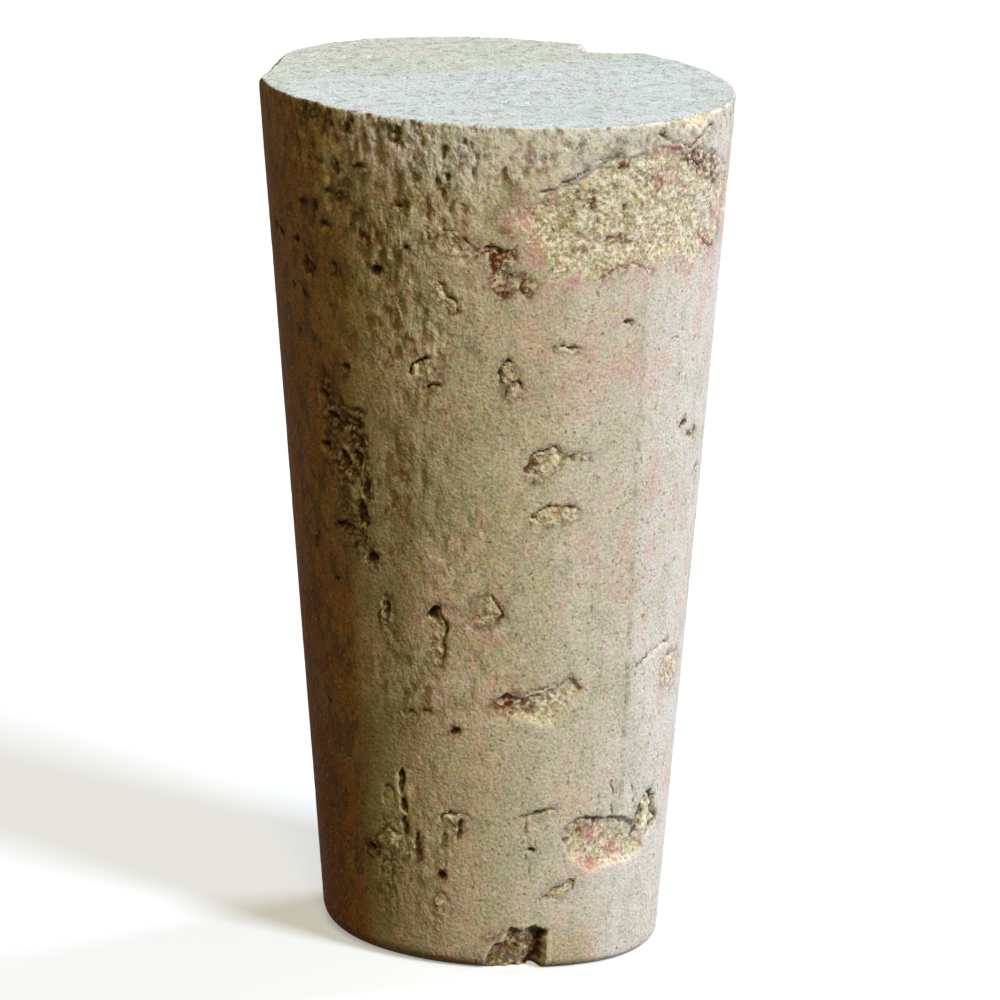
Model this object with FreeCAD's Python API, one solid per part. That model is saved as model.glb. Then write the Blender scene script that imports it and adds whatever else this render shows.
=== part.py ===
import FreeCAD, Part
import math
import os
from typing import Callable, List, NamedTuple, Sequence, Tuple

# Tapered stopper of natural cork, in millimetres.
# The origin is the middle of the foot face, +Z runs up to the head face, and the front is -Y.
# A bearing is measured in degrees round the stopper from the front, positive towards +X.
# "Proud" is a distance outside the tapered side, so a negative one lies under the surface.

# Body, ground to a taper and cut square at both ends
LENGTH = 38.0
HEAD_RADIUS = 10.42
FOOT_RADIUS = 7.35
LEAN_DEGREES = 2.21      # the taper leans towards -X, because the blank was not ground quite true
FOOT_ARRIS = 0.7         # worn round; the head's rim is left sharp
FOOT_ARRIS_FLARE = 12.0  # degrees off upright at which the rounding runs out into the taper
FOOT_ARRIS_BANDS = 3     # narrow cones that make up the rounding
GRINDING_OVERRUN = 3.0   # the taper is made longer than the stopper at each end, then trimmed

# How far the cutters stand outside the side and the ends
CUTTER_LID = 0.5

# Lenticel pits
LARGE_PIT = 0.95         # a pit wider or taller than this has more corners
LARGE_PIT_CORNERS = 9
SMALL_PIT_CORNERS = 5
PIT_FLOOR_SHARE = 0.66   # width at the foot of a pit's wall over that of its mouth
PIT_WALL_SHARE = 0.70    # depth at the foot of a pit's wall over its full depth
PIT_DIP = 0.12           # how far off the middle the deepest point lies, over the pit's size
PIT_LOBES = (0.11, 0.09)  # three-lobed and four-lobed swell of its outline, over its radius
LOBE_PHASES = (7.0, 131.8)  # degrees those swells turn for each degree of bearing and millimetre of height

# Crumbled patch below the head's rim, where a layer of bark has come away.
# Its places are a bearing and a distance below the head face, as are those of what lies in or round it.
PATCH_DEPTH = 0.42
PATCH_MIDDLE = (46.0, 3.7)
PATCH_OUTLINE = (
    (4.0, 3.8), (11.7, 2.8), (18.0, 2.5), (25.0, 1.7), (30.5, 1.3), (37.0, 1.4), (43.0, 1.0),
    (52.0, 1.5), (60.0, 1.3), (70.0, 2.0), (80.0, 2.8), (90.0, 3.4), (97.0, 4.4), (92.0, 5.5),
    (82.0, 5.8), (70.0, 6.3), (60.0, 6.8), (50.0, 6.2), (42.0, 6.5), (31.7, 6.4), (24.5, 7.1),
    (21.0, 6.6), (15.5, 6.7), (11.5, 5.8), (7.5, 5.0),
)
PATCH_RINGS = (0.96, 0.80, 0.60, 0.38, 0.18)
PATCH_UNEVENNESS = 0.35
PATCH_FADE = (44.0, 104.0, 0.4)   # bearings over which it grows shallow, and the share that is left
PATCH_GRAINS = 34
GRAIN_CORNER_STEP = 7             # each lies towards the seventh corner of the outline from the last one's
GRAIN_TURN_STEP = 40.0
GRAIN_REACH = (0.22, 0.84)        # nearest and furthest grain, over the way from the middle to the outline
GRAIN_SIZES = (0.67, 1.23)
GRAIN_DEPTHS = (0.12, 0.28)
GRAIN_TALL_SHARE = 0.8

# Crumbled streak down the left of the front, with a straight right edge along the grain
STREAK_DEPTH = 0.20
STREAK_MIDDLE = (-43.0, 21.9)
STREAK_OUTLINE = (
    (-53.0, 25.4), (-49.5, 26.2), (-45.0, 25.5), (-40.0, 25.3), (-35.5, 25.3), (-35.3, 23.3),
    (-35.5, 21.4), (-36.2, 19.6), (-34.2, 18.0), (-38.0, 17.6), (-42.5, 18.3), (-47.5, 18.9),
    (-48.0, 20.4), (-51.0, 22.0), (-53.5, 23.6),
)
STREAK_RINGS = (0.92, 0.60, 0.28)
STREAK_UNEVENNESS = 0.45

# Notch broken out of the foot's front edge, ending at an upright split
NOTCH_DEPTH_AT_FOOT = 1.45
NOTCH_DEPTH_AT_TOP = 0.45
NOTCH_TALL = 2.1
NOTCH_SLANT = (-2.0, 16.0, 0.45)  # bearings over which it grows to its full depth, and the share it starts at
NOTCH_MIDDLE = (9.5, -0.2)
NOTCH_OUTLINE = (
    (-2.5, -0.8), (-1.5, 0.5), (1.5, 1.2), (4.5, 1.3), (7.2, 2.05), (11.5, 1.85), (15.5, 2.1),
    (19.0, 1.95), (19.4, 0.6), (19.3, -0.8),
)
NOTCH_RINGS = (0.94, 0.62, 0.30)
NOTCH_UNEVENNESS = 0.12

# Unevenness of torn floors: two waves, each with its share, its turn for each degree of bearing and its
# turn for each millimetre of height, in radians
UNEVEN_WAVES = ((0.6, 0.71, 3.1), (0.4, 0.37, -5.3))

# Irrational steps that strew what has no measured place, so that no two line up
GOLDEN_STRIDE = 0.6180
ROOT_TWO_STRIDE = 0.4142
ROOT_THREE_STRIDE = 0.7321
SLOW_STRIDE = 0.3660


class Tear(NamedTuple):
    """A place where a flake has come away, with a torn floor and a measured outline."""

    depth: float
    middle: Tuple[float, float]
    outline: Tuple[Tuple[float, float], ...]


class Pit(NamedTuple):
    """A torn opening of a lenticel on the side: where its middle is and how large it is."""

    bearing: float
    height: float        # above the foot face, or below the head face for those that belong to the head
    width: float
    tall: float
    depth: float
    turn: float = 0.0    # degrees, anticlockwise as seen from outside


class Chip(NamedTuple):
    """A piece broken off the head's rim, from one bearing to the next."""

    start: float
    end: float
    inset: float         # furthest reach into the head face
    drop: float          # furthest reach down the side
    peak: float = 0.5    # where along the chip it is largest


class Crack(NamedTuple):
    """A narrow split in the side, along places on it."""

    width: float
    depth: float
    route: Tuple[Tuple[float, float], ...]


# Flakes torn from the lower front, by their height above the foot
TEARS = (
    Tear(0.42, (41.0, 5.7), (
        (22.8, 6.2), (26.5, 6.8), (31.2, 6.95), (38.0, 6.8), (46.8, 6.9), (53.2, 6.5), (58.0, 5.6),
        (60.5, 4.8), (53.8, 4.6), (44.0, 4.5), (38.8, 4.45), (33.0, 4.35), (28.0, 4.8), (24.5, 5.5),
    )),
    Tear(0.36, (16.0, 12.2), (
        (1.0, 12.2), (4.5, 12.7), (10.5, 12.6), (16.5, 12.9), (21.0, 13.2), (25.5, 13.45), (29.2, 12.8),
        (25.5, 12.3), (23.0, 11.6), (18.5, 11.3), (12.0, 11.4), (6.5, 11.7),
    )),
)
TEAR_RINGS = (0.90, 0.45)
TEAR_UNEVENNESS = 0.30

# Pits near the head, by their distance below it
HEAD_PITS = (
    Pit(-41.5, 2.8, 0.45, 0.8, 0.30),
    Pit(-50.7, 4.8, 0.5, 0.6, 0.30),
    Pit(-10.0, 5.3, 2.3, 1.1, 0.32, -22.0),
    Pit(1.4, 6.1, 0.7, 1.5, 0.38, 8.0),
    Pit(-31.2, 6.9, 0.48, 0.5, 0.65),
    Pit(-69.0, 6.4, 0.7, 0.6, 0.45),
    Pit(-54.7, 7.5, 0.8, 1.0, 0.40),
    Pit(-12.8, 7.65, 2.0, 0.95, 0.42, -50.0),
    Pit(9.0, 7.1, 0.7, 1.0, 0.35, 30.0),
    Pit(-23.7, 8.4, 0.32, 0.8, 0.30),
)

# Pits of the rest of the front, from the upper ones down, by their height above the foot
FRONT_PITS = (
    Pit(20.0, 28.2, 1.5, 0.6, 0.32),
    Pit(-17.9, 27.0, 1.5, 1.3, 0.60),
    Pit(4.0, 27.1, 0.9, 1.2, 0.42, 12.0),
    Pit(6.2, 26.3, 0.8, 1.1, 0.42, -15.0),
    Pit(62.0, 24.1, 0.6, 0.42, 0.40),
    Pit(70.3, 23.4, 0.9, 0.8, 0.32, -30.0),
    Pit(15.0, 23.1, 1.9, 1.35, 0.48, 20.0),
    Pit(24.0, 23.35, 1.0, 0.32, 0.25, 6.0),
    Pit(76.0, 21.6, 1.0, 0.35, 0.25),
    Pit(18.3, 20.75, 2.6, 1.15, 0.42, 3.0),
    Pit(-59.0, 18.1, 0.4, 1.2, 0.35),
    Pit(-31.0, 15.5, 1.0, 2.2, 0.30),
    Pit(-31.0, 16.1, 0.4, 0.7, 0.62),
    Pit(-16.0, 15.1, 0.9, 2.7, 0.40),
    Pit(-16.0, 16.05, 0.6, 0.7, 0.62),
    Pit(-1.7, 16.35, 1.55, 1.6, 0.36),
    Pit(69.0, 12.8, 2.6, 1.8, 0.22),
    Pit(-11.4, 10.8, 0.55, 0.5, 0.40),
    Pit(-28.2, 8.1, 0.35, 1.2, 0.60),
    Pit(-33.5, 7.4, 0.9, 1.4, 0.25, 25.0),
    Pit(61.0, 6.5, 2.0, 2.2, 0.85),
    Pit(-10.0, 6.9, 0.8, 0.9, 0.30),
    Pit(-23.7, 5.5, 0.4, 1.1, 0.32),
    Pit(-41.5, 4.9, 0.6, 0.5, 0.42),
    Pit(24.0, 3.7, 1.6, 0.6, 0.22, 12.0),
    Pit(18.7, 1.1, 0.3, 1.7, 1.35),
)

# Holes inside the crumbled streak
STREAK_PITS = (
    Pit(-51.6, 24.8, 0.6, 0.9, 0.60),
    Pit(-48.6, 24.0, 0.8, 0.7, 0.55),
    Pit(-40.5, 23.9, 1.6, 0.7, 0.45),
    Pit(-51.5, 22.6, 0.7, 0.6, 0.50),
    Pit(-45.3, 22.2, 0.7, 1.1, 0.62),
    Pit(-40.0, 22.3, 0.8, 1.3, 0.62),
    Pit(-36.9, 21.3, 0.4, 0.9, 0.45),
    Pit(-39.3, 19.9, 0.9, 1.5, 0.60),
    Pit(-46.2, 19.3, 1.0, 0.5, 0.42),
    Pit(-36.0, 18.2, 0.8, 0.45, 0.50),
)

# Holes inside the crumbled patch, by their distance below the head
PATCH_PITS = (
    Pit(20.0, 3.7, 0.45, 1.2, 0.75),
    Pit(32.5, 2.0, 0.6, 0.5, 0.80),
    Pit(33.8, 3.8, 0.5, 0.8, 0.75),
    Pit(43.0, 2.7, 0.8, 0.9, 0.72),
    Pit(58.0, 2.3, 1.6, 0.6, 0.70, -28.0),
    Pit(68.0, 3.3, 1.4, 0.5, 0.65, -28.0),
)

RIM_CHIPS = (
    Chip(-123.0, -77.0, 0.70, 0.80, 0.60),
    Chip(42.0, 67.0, 0.50, 0.72, 0.60),
    Chip(141.0, 159.5, 1.70, 1.00, 0.75),
    Chip(-56.0, -49.5, 0.18, 0.40),
)
CHIP_STATIONS = 7
CHIP_RUNOUT = 0.12       # how far clear of the rim a chip's cutter ends, over its size
CHIP_UNEVENNESS = 0.12

CRACK_END_SHARE = 0.35   # width and depth at a crack's two ends over those along it

# Cracks along the edges of the patch, by their distance below the head
HEAD_CRACKS = (
    Crack(0.20, 0.62, ((3.0, 4.1), (11.7, 2.75), (18.0, 2.4), (25.0, 1.6), (32.0, 1.15))),
    Crack(0.22, 0.60, ((42.4, 0.5), (48.0, 1.05), (55.0, 1.2), (59.6, 1.1), (65.0, 0.6))),
    Crack(0.18, 0.50, ((26.0, 6.65), (31.0, 6.3), (37.0, 6.25), (42.8, 6.5))),
    Crack(0.14, 0.28, ((61.0, 5.25), (66.0, 5.8), (71.0, 6.15))),
)

# Cracks lower down, by their height above the foot
CRACKS = (
    Crack(0.16, 0.50, ((10.0, 12.7), (17.8, 13.15), (26.2, 13.55), (30.0, 12.95))),
    Crack(0.14, 0.28, ((11.0, 7.2), (16.0, 7.45), (21.5, 7.25))),
)

# Plain lenticels of the side that faces away
BACK_PITS = 15
BACK_BEARINGS = (100.0, 262.0)
BACK_HEIGHTS = (3.5, 33.5)
BACK_PIT_SIZES = ((0.8, 0.6), (1.6, 1.0), (2.6, 1.2))
BACK_PIT_DEPTH = 0.38
BACK_PIT_TURN = 40.0     # they lie within half of this either way of level

NODE = "cork_stopper"

TAPER = (HEAD_RADIUS - FOOT_RADIUS) / LENGTH
LEAN = math.tan(math.radians(LEAN_DEGREES))

Place = Tuple[float, float]
Ring = List[FreeCAD.Vector]


def side_radius(height: float) -> float:
    """Radius of the taper at a height."""
    return FOOT_RADIUS + TAPER * height


def on_side(bearing: float, height: float, proud: float = 0.0) -> FreeCAD.Vector:
    """Point at a bearing and height, a distance outside the tapered side."""
    turn = math.radians(bearing)
    radius = side_radius(height) + proud
    return FreeCAD.Vector(radius * math.sin(turn) - LEAN * height, -radius * math.cos(turn), height)


def foot_form() -> Part.Shape:
    """Round form that eases the foot's arris: a level foot, a rounding, and a flare past the side."""
    flare = math.radians(FOOT_ARRIS_FLARE)
    profile = [FreeCAD.Vector(0, 0, 0)]
    for band in range(FOOT_ARRIS_BANDS + 1):
        turn = (math.pi / 2 - flare) * band / FOOT_ARRIS_BANDS
        inset = FOOT_ARRIS * (1 - math.sin(turn))
        profile.append(FreeCAD.Vector(FOOT_RADIUS - inset, 0, FOOT_ARRIS * (1 - math.cos(turn))))
    flare_run = LENGTH - profile[-1].z
    profile.append(FreeCAD.Vector(profile[-1].x + flare_run * math.tan(flare), 0, LENGTH))
    profile.append(FreeCAD.Vector(0, 0, LENGTH))
    outline = Part.Face(Part.makePolygon([*profile, profile[0]]))
    return outline.revolve(FreeCAD.Vector(0, 0, 0), FreeCAD.Vector(0, 0, 1), 360)


def blank() -> Part.Shape:
    """Ground taper, leaned, with a level foot and head and the foot's arris eased."""
    low = -GRINDING_OVERRUN
    high = LENGTH + GRINDING_OVERRUN
    taper = Part.makeCone(side_radius(low), side_radius(high), high - low, FreeCAD.Vector(0, 0, low))
    taper.rotate(FreeCAD.Vector(0, 0, 0), FreeCAD.Vector(0, 1, 0), -LEAN_DEGREES)
    return taper.common(foot_form())


def closed_solid(facets: List[Ring]) -> Part.Shape:
    """Solid bounded by flat facets that share their corners and all run round the same way."""
    shell = Part.Shell([Part.Face(Part.makePolygon([*facet, facet[0]])) for facet in facets])
    shell.sewShape()
    return Part.makeSolid(shell)


def frustum(lid: Ring, floor: Ring, dip: FreeCAD.Vector) -> Part.Shape:
    """Solid between a flat lid and a smaller ring of the same shape, ending in a dip under that ring."""
    facets = [lid[::-1]]
    for here in range(len(lid)):
        after = (here + 1) % len(lid)
        facets.append([lid[here], lid[after], floor[after], floor[here]])
        facets.append([floor[here], floor[after], dip])
    return closed_solid(facets)


def skin(rings: List[Ring]) -> Part.Shape:
    """Solid of flat facets through rings of as many corners, with a fan over each end."""
    count = len(rings[0])
    facets = []
    for near, far in zip(rings, rings[1:]):
        for here in range(count):
            after = (here + 1) % count
            facets.append([near[here], near[after], far[after]])
            facets.append([near[here], far[after], far[here]])
    for end in (rings[0][::-1], rings[-1]):
        middle = sum(end, FreeCAD.Vector()) * (1.0 / count)
        for here in range(count):
            facets.append([end[here], end[(here + 1) % count], middle])
    return closed_solid(facets)


def from_head(places: Tuple[Place, ...]) -> Tuple[Place, ...]:
    """Places given by their distance below the head, as heights above the foot."""
    return tuple((bearing, LENGTH - below) for bearing, below in places)


def side_frame(bearing: float, height: float) -> Tuple[FreeCAD.Vector, FreeCAD.Vector, FreeCAD.Vector]:
    """Directions round, up and straight out of the side at a place on it."""
    turn = math.radians(bearing)
    around = FreeCAD.Vector(math.cos(turn), math.sin(turn), 0)
    out = FreeCAD.Vector(math.sin(turn), -math.cos(turn), LEAN * math.sin(turn) - TAPER)
    out.normalize()
    return around, out.cross(around), out


def pit_cutter(pit: Pit) -> Part.Shape:
    """Lobed opening that narrows to a floor which dips off its middle, each with lobes of its own."""
    bearing_phase = math.radians(LOBE_PHASES[0] * pit.bearing)
    height_phase = math.radians(LOBE_PHASES[1] * pit.height)
    turn = math.radians(pit.turn)
    corners = LARGE_PIT_CORNERS if max(pit.width, pit.tall) > LARGE_PIT else SMALL_PIT_CORNERS
    middle = on_side(pit.bearing, pit.height)
    around, up, out = side_frame(pit.bearing, pit.height)
    wall = PIT_WALL_SHARE * pit.depth
    lid_share = 1.0 + (1.0 - PIT_FLOOR_SHARE) * CUTTER_LID / wall
    lid = []
    floor = []
    for corner in range(corners):
        angle = 2 * math.pi * corner / corners
        lobe = 1.0 + PIT_LOBES[0] * math.cos(3 * angle + bearing_phase)
        lobe += PIT_LOBES[1] * math.cos(4 * angle + height_phase)
        across = lobe * math.cos(angle) * pit.width / 2
        along = lobe * math.sin(angle) * pit.tall / 2
        spoke = around * (across * math.cos(turn) - along * math.sin(turn))
        spoke += up * (across * math.sin(turn) + along * math.cos(turn))
        lid.append(middle + spoke * lid_share + out * CUTTER_LID)
        floor.append(middle + spoke * PIT_FLOOR_SHARE - out * wall)
    dip = around * (PIT_DIP * pit.width * math.cos(bearing_phase))
    dip += up * (PIT_DIP * pit.tall * math.sin(bearing_phase))
    return frustum(lid, floor, middle + dip - out * pit.depth)


def torn_recess(
    outline: Sequence[Place], middle: Place, shares: Tuple[float, ...], depth: Callable[[float, float], float]
) -> Part.Shape:
    """Shallow recess with a torn floor: rings that grow over its lid, then shrink over its floor."""
    rim_share, *inner_shares = shares
    lid_shares = [*reversed(inner_shares), 2.0 - rim_share]
    rings = []
    for share, sunk in [(share, False) for share in lid_shares] + [(share, True) for share in shares]:
        ring = []
        for bearing, height in outline:
            at_bearing = middle[0] + share * (bearing - middle[0])
            at_height = middle[1] + share * (height - middle[1])
            proud = -depth(at_bearing, at_height) if sunk else CUTTER_LID
            ring.append(on_side(at_bearing, at_height, proud))
        rings.append(ring)
    return skin(rings)


def uneven(bearing: float, height: float) -> float:
    """Smooth unevenness between about -1 and 1 that repeats nowhere on the side."""
    return sum(share * math.sin(turn * bearing + rise * height) for share, turn, rise in UNEVEN_WAVES)


def patch_depth(bearing: float, height: float) -> float:
    """Depth of the crumbled patch, fading round the right of the stopper."""
    start, end, least = PATCH_FADE
    fade = min(1.0, max(least, (end - bearing) / (end - start)))
    return PATCH_DEPTH * fade * (1.0 + PATCH_UNEVENNESS * uneven(bearing, height))


def streak_depth(bearing: float, height: float) -> float:
    """Depth of the crumbled streak."""
    return STREAK_DEPTH * (1.0 + STREAK_UNEVENNESS * uneven(bearing, height))


def notch_depth(bearing: float, height: float) -> float:
    """Depth of the foot's notch, which grows towards the foot face and towards the split."""
    share = max(0.0, min(1.0, height / NOTCH_TALL))
    mean = NOTCH_DEPTH_AT_FOOT + (NOTCH_DEPTH_AT_TOP - NOTCH_DEPTH_AT_FOOT) * share
    start, end, least = NOTCH_SLANT
    slant = min(1.0, max(least, least + (1.0 - least) * (bearing - start) / (end - start)))
    return mean * slant * (1.0 + NOTCH_UNEVENNESS * uneven(bearing, height))


def tear_cutter(tear: Tear) -> Part.Shape:
    """Recess of a flake that has come away."""

    def depth(bearing: float, height: float) -> float:
        """Depth of its torn floor."""
        return tear.depth * (1.0 + TEAR_UNEVENNESS * uneven(bearing, height))

    return torn_recess(tear.outline, tear.middle, TEAR_RINGS, depth)


def between(limits: Tuple[float, float], share: float) -> float:
    """Value a share of the way from the first limit to the second."""
    return limits[0] + (limits[1] - limits[0]) * share


def stride(order: int, step: float) -> float:
    """Share between 0 and 1 that an irrational step reaches, so that an order's places never line up."""
    return (order * step) % 1.0


def patch_grains() -> List[Pit]:
    """Small hollows between the grains of the crumbled patch, strewn between its middle and its outline."""
    middle, *outline = from_head((PATCH_MIDDLE, *PATCH_OUTLINE))
    grains = []
    for order in range(PATCH_GRAINS):
        corner = outline[(GRAIN_CORNER_STEP * order) % len(outline)]
        reach = between(GRAIN_REACH, stride(order, GOLDEN_STRIDE))
        bearing = middle[0] + reach * (corner[0] - middle[0])
        height = middle[1] + reach * (corner[1] - middle[1])
        size = between(GRAIN_SIZES, stride(order, ROOT_TWO_STRIDE))
        sunk = patch_depth(bearing, height) + between(GRAIN_DEPTHS, stride(order, ROOT_THREE_STRIDE))
        grains.append(Pit(bearing, height, size, GRAIN_TALL_SHARE * size, sunk, GRAIN_TURN_STEP * order))
    return grains


def back_pits() -> List[Pit]:
    """Plain lenticels of the side that faces away, each a stride further round and a step higher."""
    pits = []
    for order in range(BACK_PITS):
        bearing = between(BACK_BEARINGS, stride(order, GOLDEN_STRIDE))
        height = between(BACK_HEIGHTS, (order + 0.5) / BACK_PITS)
        width, tall = BACK_PIT_SIZES[order % len(BACK_PIT_SIZES)]
        turn = BACK_PIT_TURN * (stride(order, SLOW_STRIDE) - 0.5)
        pits.append(Pit(bearing, height, width, tall, BACK_PIT_DEPTH, turn))
    return pits


def crack_cutter(crack: Crack) -> Part.Shape:
    """V-shaped split that is narrowest at its two ends."""
    rings = []
    last = len(crack.route) - 1
    for order, (bearing, height) in enumerate(crack.route):
        before = crack.route[max(order - 1, 0)]
        after = crack.route[min(order + 1, last)]
        run = math.radians(after[0] - before[0]) * side_radius(height)
        climb = after[1] - before[1]
        length = math.hypot(run, climb)
        share = CRACK_END_SHARE if order in (0, last) else 1.0
        half = share * crack.width / 2 * (1.0 + CUTTER_LID / crack.depth)
        swing = math.degrees(half * climb / length / side_radius(height))
        rise = half * run / length
        rings.append([
            on_side(bearing - swing, height + rise, CUTTER_LID),
            on_side(bearing, height, -share * crack.depth),
            on_side(bearing + swing, height - rise, CUTTER_LID),
        ])
    return skin(rings)


def chip_cutter(chip: Chip) -> Part.Shape:
    """Wedge over the head's rim whose cut runs from the head face down to the side, largest at its peak."""
    rings = []
    overrun = CUTTER_LID / min(chip.inset, chip.drop)
    far = CUTTER_LID + chip.inset + chip.drop
    for station in range(CHIP_STATIONS):
        share = station / (CHIP_STATIONS - 1)
        bearing = chip.start + (chip.end - chip.start) * share
        slope = min(share / chip.peak, (1.0 - share) / (1.0 - chip.peak))
        swell = (1.0 + CHIP_RUNOUT) * math.sin(math.pi / 2 * slope) - CHIP_RUNOUT
        swell *= 1.0 + CHIP_UNEVENNESS * uneven(bearing, LENGTH)
        inset = chip.inset * swell
        drop = chip.drop * swell
        rings.append([
            on_side(bearing, LENGTH + overrun * chip.drop, -inset - overrun * chip.inset),
            on_side(bearing, LENGTH - drop - overrun * chip.drop, overrun * chip.inset),
            on_side(bearing, LENGTH + far, far + overrun * chip.inset),
        ])
    return skin(rings)


def stopper() -> Part.Shape:
    """The finished stopper: the blank, less its torn places, pits, cracks and chips."""
    patch_middle, *patch_outline = from_head((PATCH_MIDDLE, *PATCH_OUTLINE))
    head_pits = [pit._replace(height=LENGTH - pit.height) for pit in HEAD_PITS]
    patch_pits = [pit._replace(height=LENGTH - pit.height) for pit in PATCH_PITS]
    head_cracks = [crack._replace(route=from_head(crack.route)) for crack in HEAD_CRACKS]
    layers = [
        [
            torn_recess(patch_outline, patch_middle, PATCH_RINGS, patch_depth),
            torn_recess(STREAK_OUTLINE, STREAK_MIDDLE, STREAK_RINGS, streak_depth),
            torn_recess(NOTCH_OUTLINE, NOTCH_MIDDLE, NOTCH_RINGS, notch_depth),
            *[tear_cutter(tear) for tear in TEARS],
        ],
        [pit_cutter(pit) for pit in (*head_pits, *FRONT_PITS, *back_pits())],
        [pit_cutter(pit) for pit in (*STREAK_PITS, *patch_pits)],
        [pit_cutter(pit) for pit in patch_grains()],
        [crack_cutter(crack) for crack in (*head_cracks, *CRACKS)],
        [chip_cutter(chip) for chip in RIM_CHIPS],
    ]
    body = blank()
    for cutters in layers:
        body = body.cut(cutters)
    return max(body.Solids, key=lambda piece: piece.Volume)


def main() -> None:
    """Write the stopper."""
    os.makedirs("parts", exist_ok=True)
    solid = stopper()
    print(NODE, "valid", solid.isValid(), "volume", round(solid.Volume, 1))
    solid.exportStep("parts/" + NODE + ".step")


main()
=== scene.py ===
import logging
import math
from dataclasses import dataclass, replace
from enum import Enum
from typing import Any, Dict, Iterable, List, Optional, Sequence, Tuple, Union

import bpy
import numpy as np
from mathutils import Matrix, Vector


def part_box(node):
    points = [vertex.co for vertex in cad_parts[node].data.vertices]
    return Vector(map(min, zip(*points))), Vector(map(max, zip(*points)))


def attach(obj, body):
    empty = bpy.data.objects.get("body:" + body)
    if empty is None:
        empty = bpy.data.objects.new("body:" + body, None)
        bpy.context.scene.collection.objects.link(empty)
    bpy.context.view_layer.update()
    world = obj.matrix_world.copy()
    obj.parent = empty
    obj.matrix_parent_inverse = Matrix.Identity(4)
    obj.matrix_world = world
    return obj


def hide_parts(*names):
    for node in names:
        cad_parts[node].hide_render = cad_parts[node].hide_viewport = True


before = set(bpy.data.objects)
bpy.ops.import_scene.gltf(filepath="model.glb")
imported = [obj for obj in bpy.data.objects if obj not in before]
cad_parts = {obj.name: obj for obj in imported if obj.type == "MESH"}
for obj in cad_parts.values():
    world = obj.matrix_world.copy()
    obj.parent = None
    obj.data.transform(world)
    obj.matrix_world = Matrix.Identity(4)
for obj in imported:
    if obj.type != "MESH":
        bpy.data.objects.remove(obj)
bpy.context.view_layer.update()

LOG = logging.getLogger("stopper")
MM = 0.001
NODE = "cork_stopper"
PIECE = "stopper_body"
LATTICE_SIDE = 64

Place = Tuple[float, float]
Window = Tuple[np.ndarray, np.ndarray]
Socket = bpy.types.NodeSocket


def smooth_step(low: float, high: float, value: np.ndarray) -> np.ndarray:
    """Cubic ease from 0 at low to 1 at high, clamped outside; low may be the larger.

    Args:
        low: Value that gives 0.
        high: Value that gives 1.
        value: Values to ease.

    Returns:
        3t^2 - 2t^3 of the clamped share t.
    """
    share = np.clip((value - low) / (high - low), 0.0, 1.0)
    return share * share * (3.0 - 2.0 * share)


def bell(offset: np.ndarray, width: float) -> np.ndarray:
    """Bell curve exp(-(offset / width)^2): 1 in the middle, and about a third one width away from it."""
    return np.exp(-(offset / width) ** 2)


def turned_from(start: float, bearings: np.ndarray) -> np.ndarray:
    """Bearings measured from another one, between -180 and 180 degrees."""
    return (bearings - start + 180.0) % 360.0 - 180.0


def lattice_noise(points: np.ndarray, cell: Union[float, Sequence[float]], seed: int) -> np.ndarray:
    """Value noise: seeded numbers on a box lattice, eased between its eight nearest corners.

    Args:
        points: Places, (..., 3), in millimetres.
        cell: Lattice spacing, one for all directions or one for each, in millimetres.
        seed: Seed of the lattice's numbers.

    Returns:
        Noise between -1 and 1, one value a place.
    """
    table = np.random.default_rng(seed).uniform(-1.0, 1.0, (LATTICE_SIDE, LATTICE_SIDE, LATTICE_SIDE))
    scaled = points / np.asarray(cell, float)
    corner = np.floor(scaled).astype(int)
    share = scaled - corner
    ease = share * share * (3.0 - 2.0 * share)
    low = corner % LATTICE_SIDE
    high = (corner + 1) % LATTICE_SIDE
    total = np.zeros(points.shape[:-1])
    for in_x in (0, 1):
        for in_y in (0, 1):
            for in_z in (0, 1):
                pick = tuple((high if up else low)[..., axis] for axis, up in enumerate((in_x, in_y, in_z)))
                weight = np.ones(points.shape[:-1])
                for axis, up in enumerate((in_x, in_y, in_z)):
                    weight = weight * (ease[..., axis] if up else 1.0 - ease[..., axis])
                total += weight * table[pick]
    return total


def fractal_noise(points: np.ndarray, cell: float, octaves: int, seed: int) -> np.ndarray:
    """Sum of lattice noises, each with half the spacing and half the strength of the last.

    Args:
        points: Places, (..., 3), in millimetres.
        cell: Spacing of the first lattice, in millimetres.
        octaves: How many are summed.
        seed: Seed of the first; each further one adds 1.

    Returns:
        Noise of about -1 to 1, one value a place.
    """
    total = np.zeros(points.shape[:-1])
    weight = 1.0
    for octave in range(octaves):
        total += weight * lattice_noise(points, cell / 2.0 ** octave, seed + octave)
        weight *= 0.5
    return total / (2.0 - 2.0 * weight)


def blurred(layer: np.ndarray, reach: int) -> np.ndarray:
    """Mean over a square of cells, which wraps round the columns, by running sums.

    Args:
        layer: Values on the grid of rows and columns.
        reach: Cells that the square takes in on each side of its middle.

    Returns:
        The means, on the same grid.
    """
    padded = np.pad(layer, ((reach, reach), (0, 0)), mode="edge")
    padded = np.pad(padded, ((0, 0), (reach, reach)), mode="wrap")
    total = np.cumsum(np.cumsum(np.pad(padded, ((1, 0), (1, 0))), axis=0), axis=1)
    side = 2 * reach + 1
    box = total[side:, side:] - total[:-side, side:] - total[side:, :-side] + total[:-side, :-side]
    return box / (side * side)


@dataclass(frozen=True)
class Pit:
    """A torn lenticel opening on the side; lengths in millimetres, angles in degrees.

    Its shares: how rusty it is, how much of it a plug of torn cork fills, and how much painted shade darkens
    its crevice. The lip is the direction, about its middle, in which that crevice is deepest.
    """

    bearing: float
    height: float
    width: float
    tall: float
    depth: float
    turn: float = 0.0
    rust: float = 0.25
    plug: float = 0.45
    painted_shade_share: float = 0.6
    lip: float = 120.0


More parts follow.
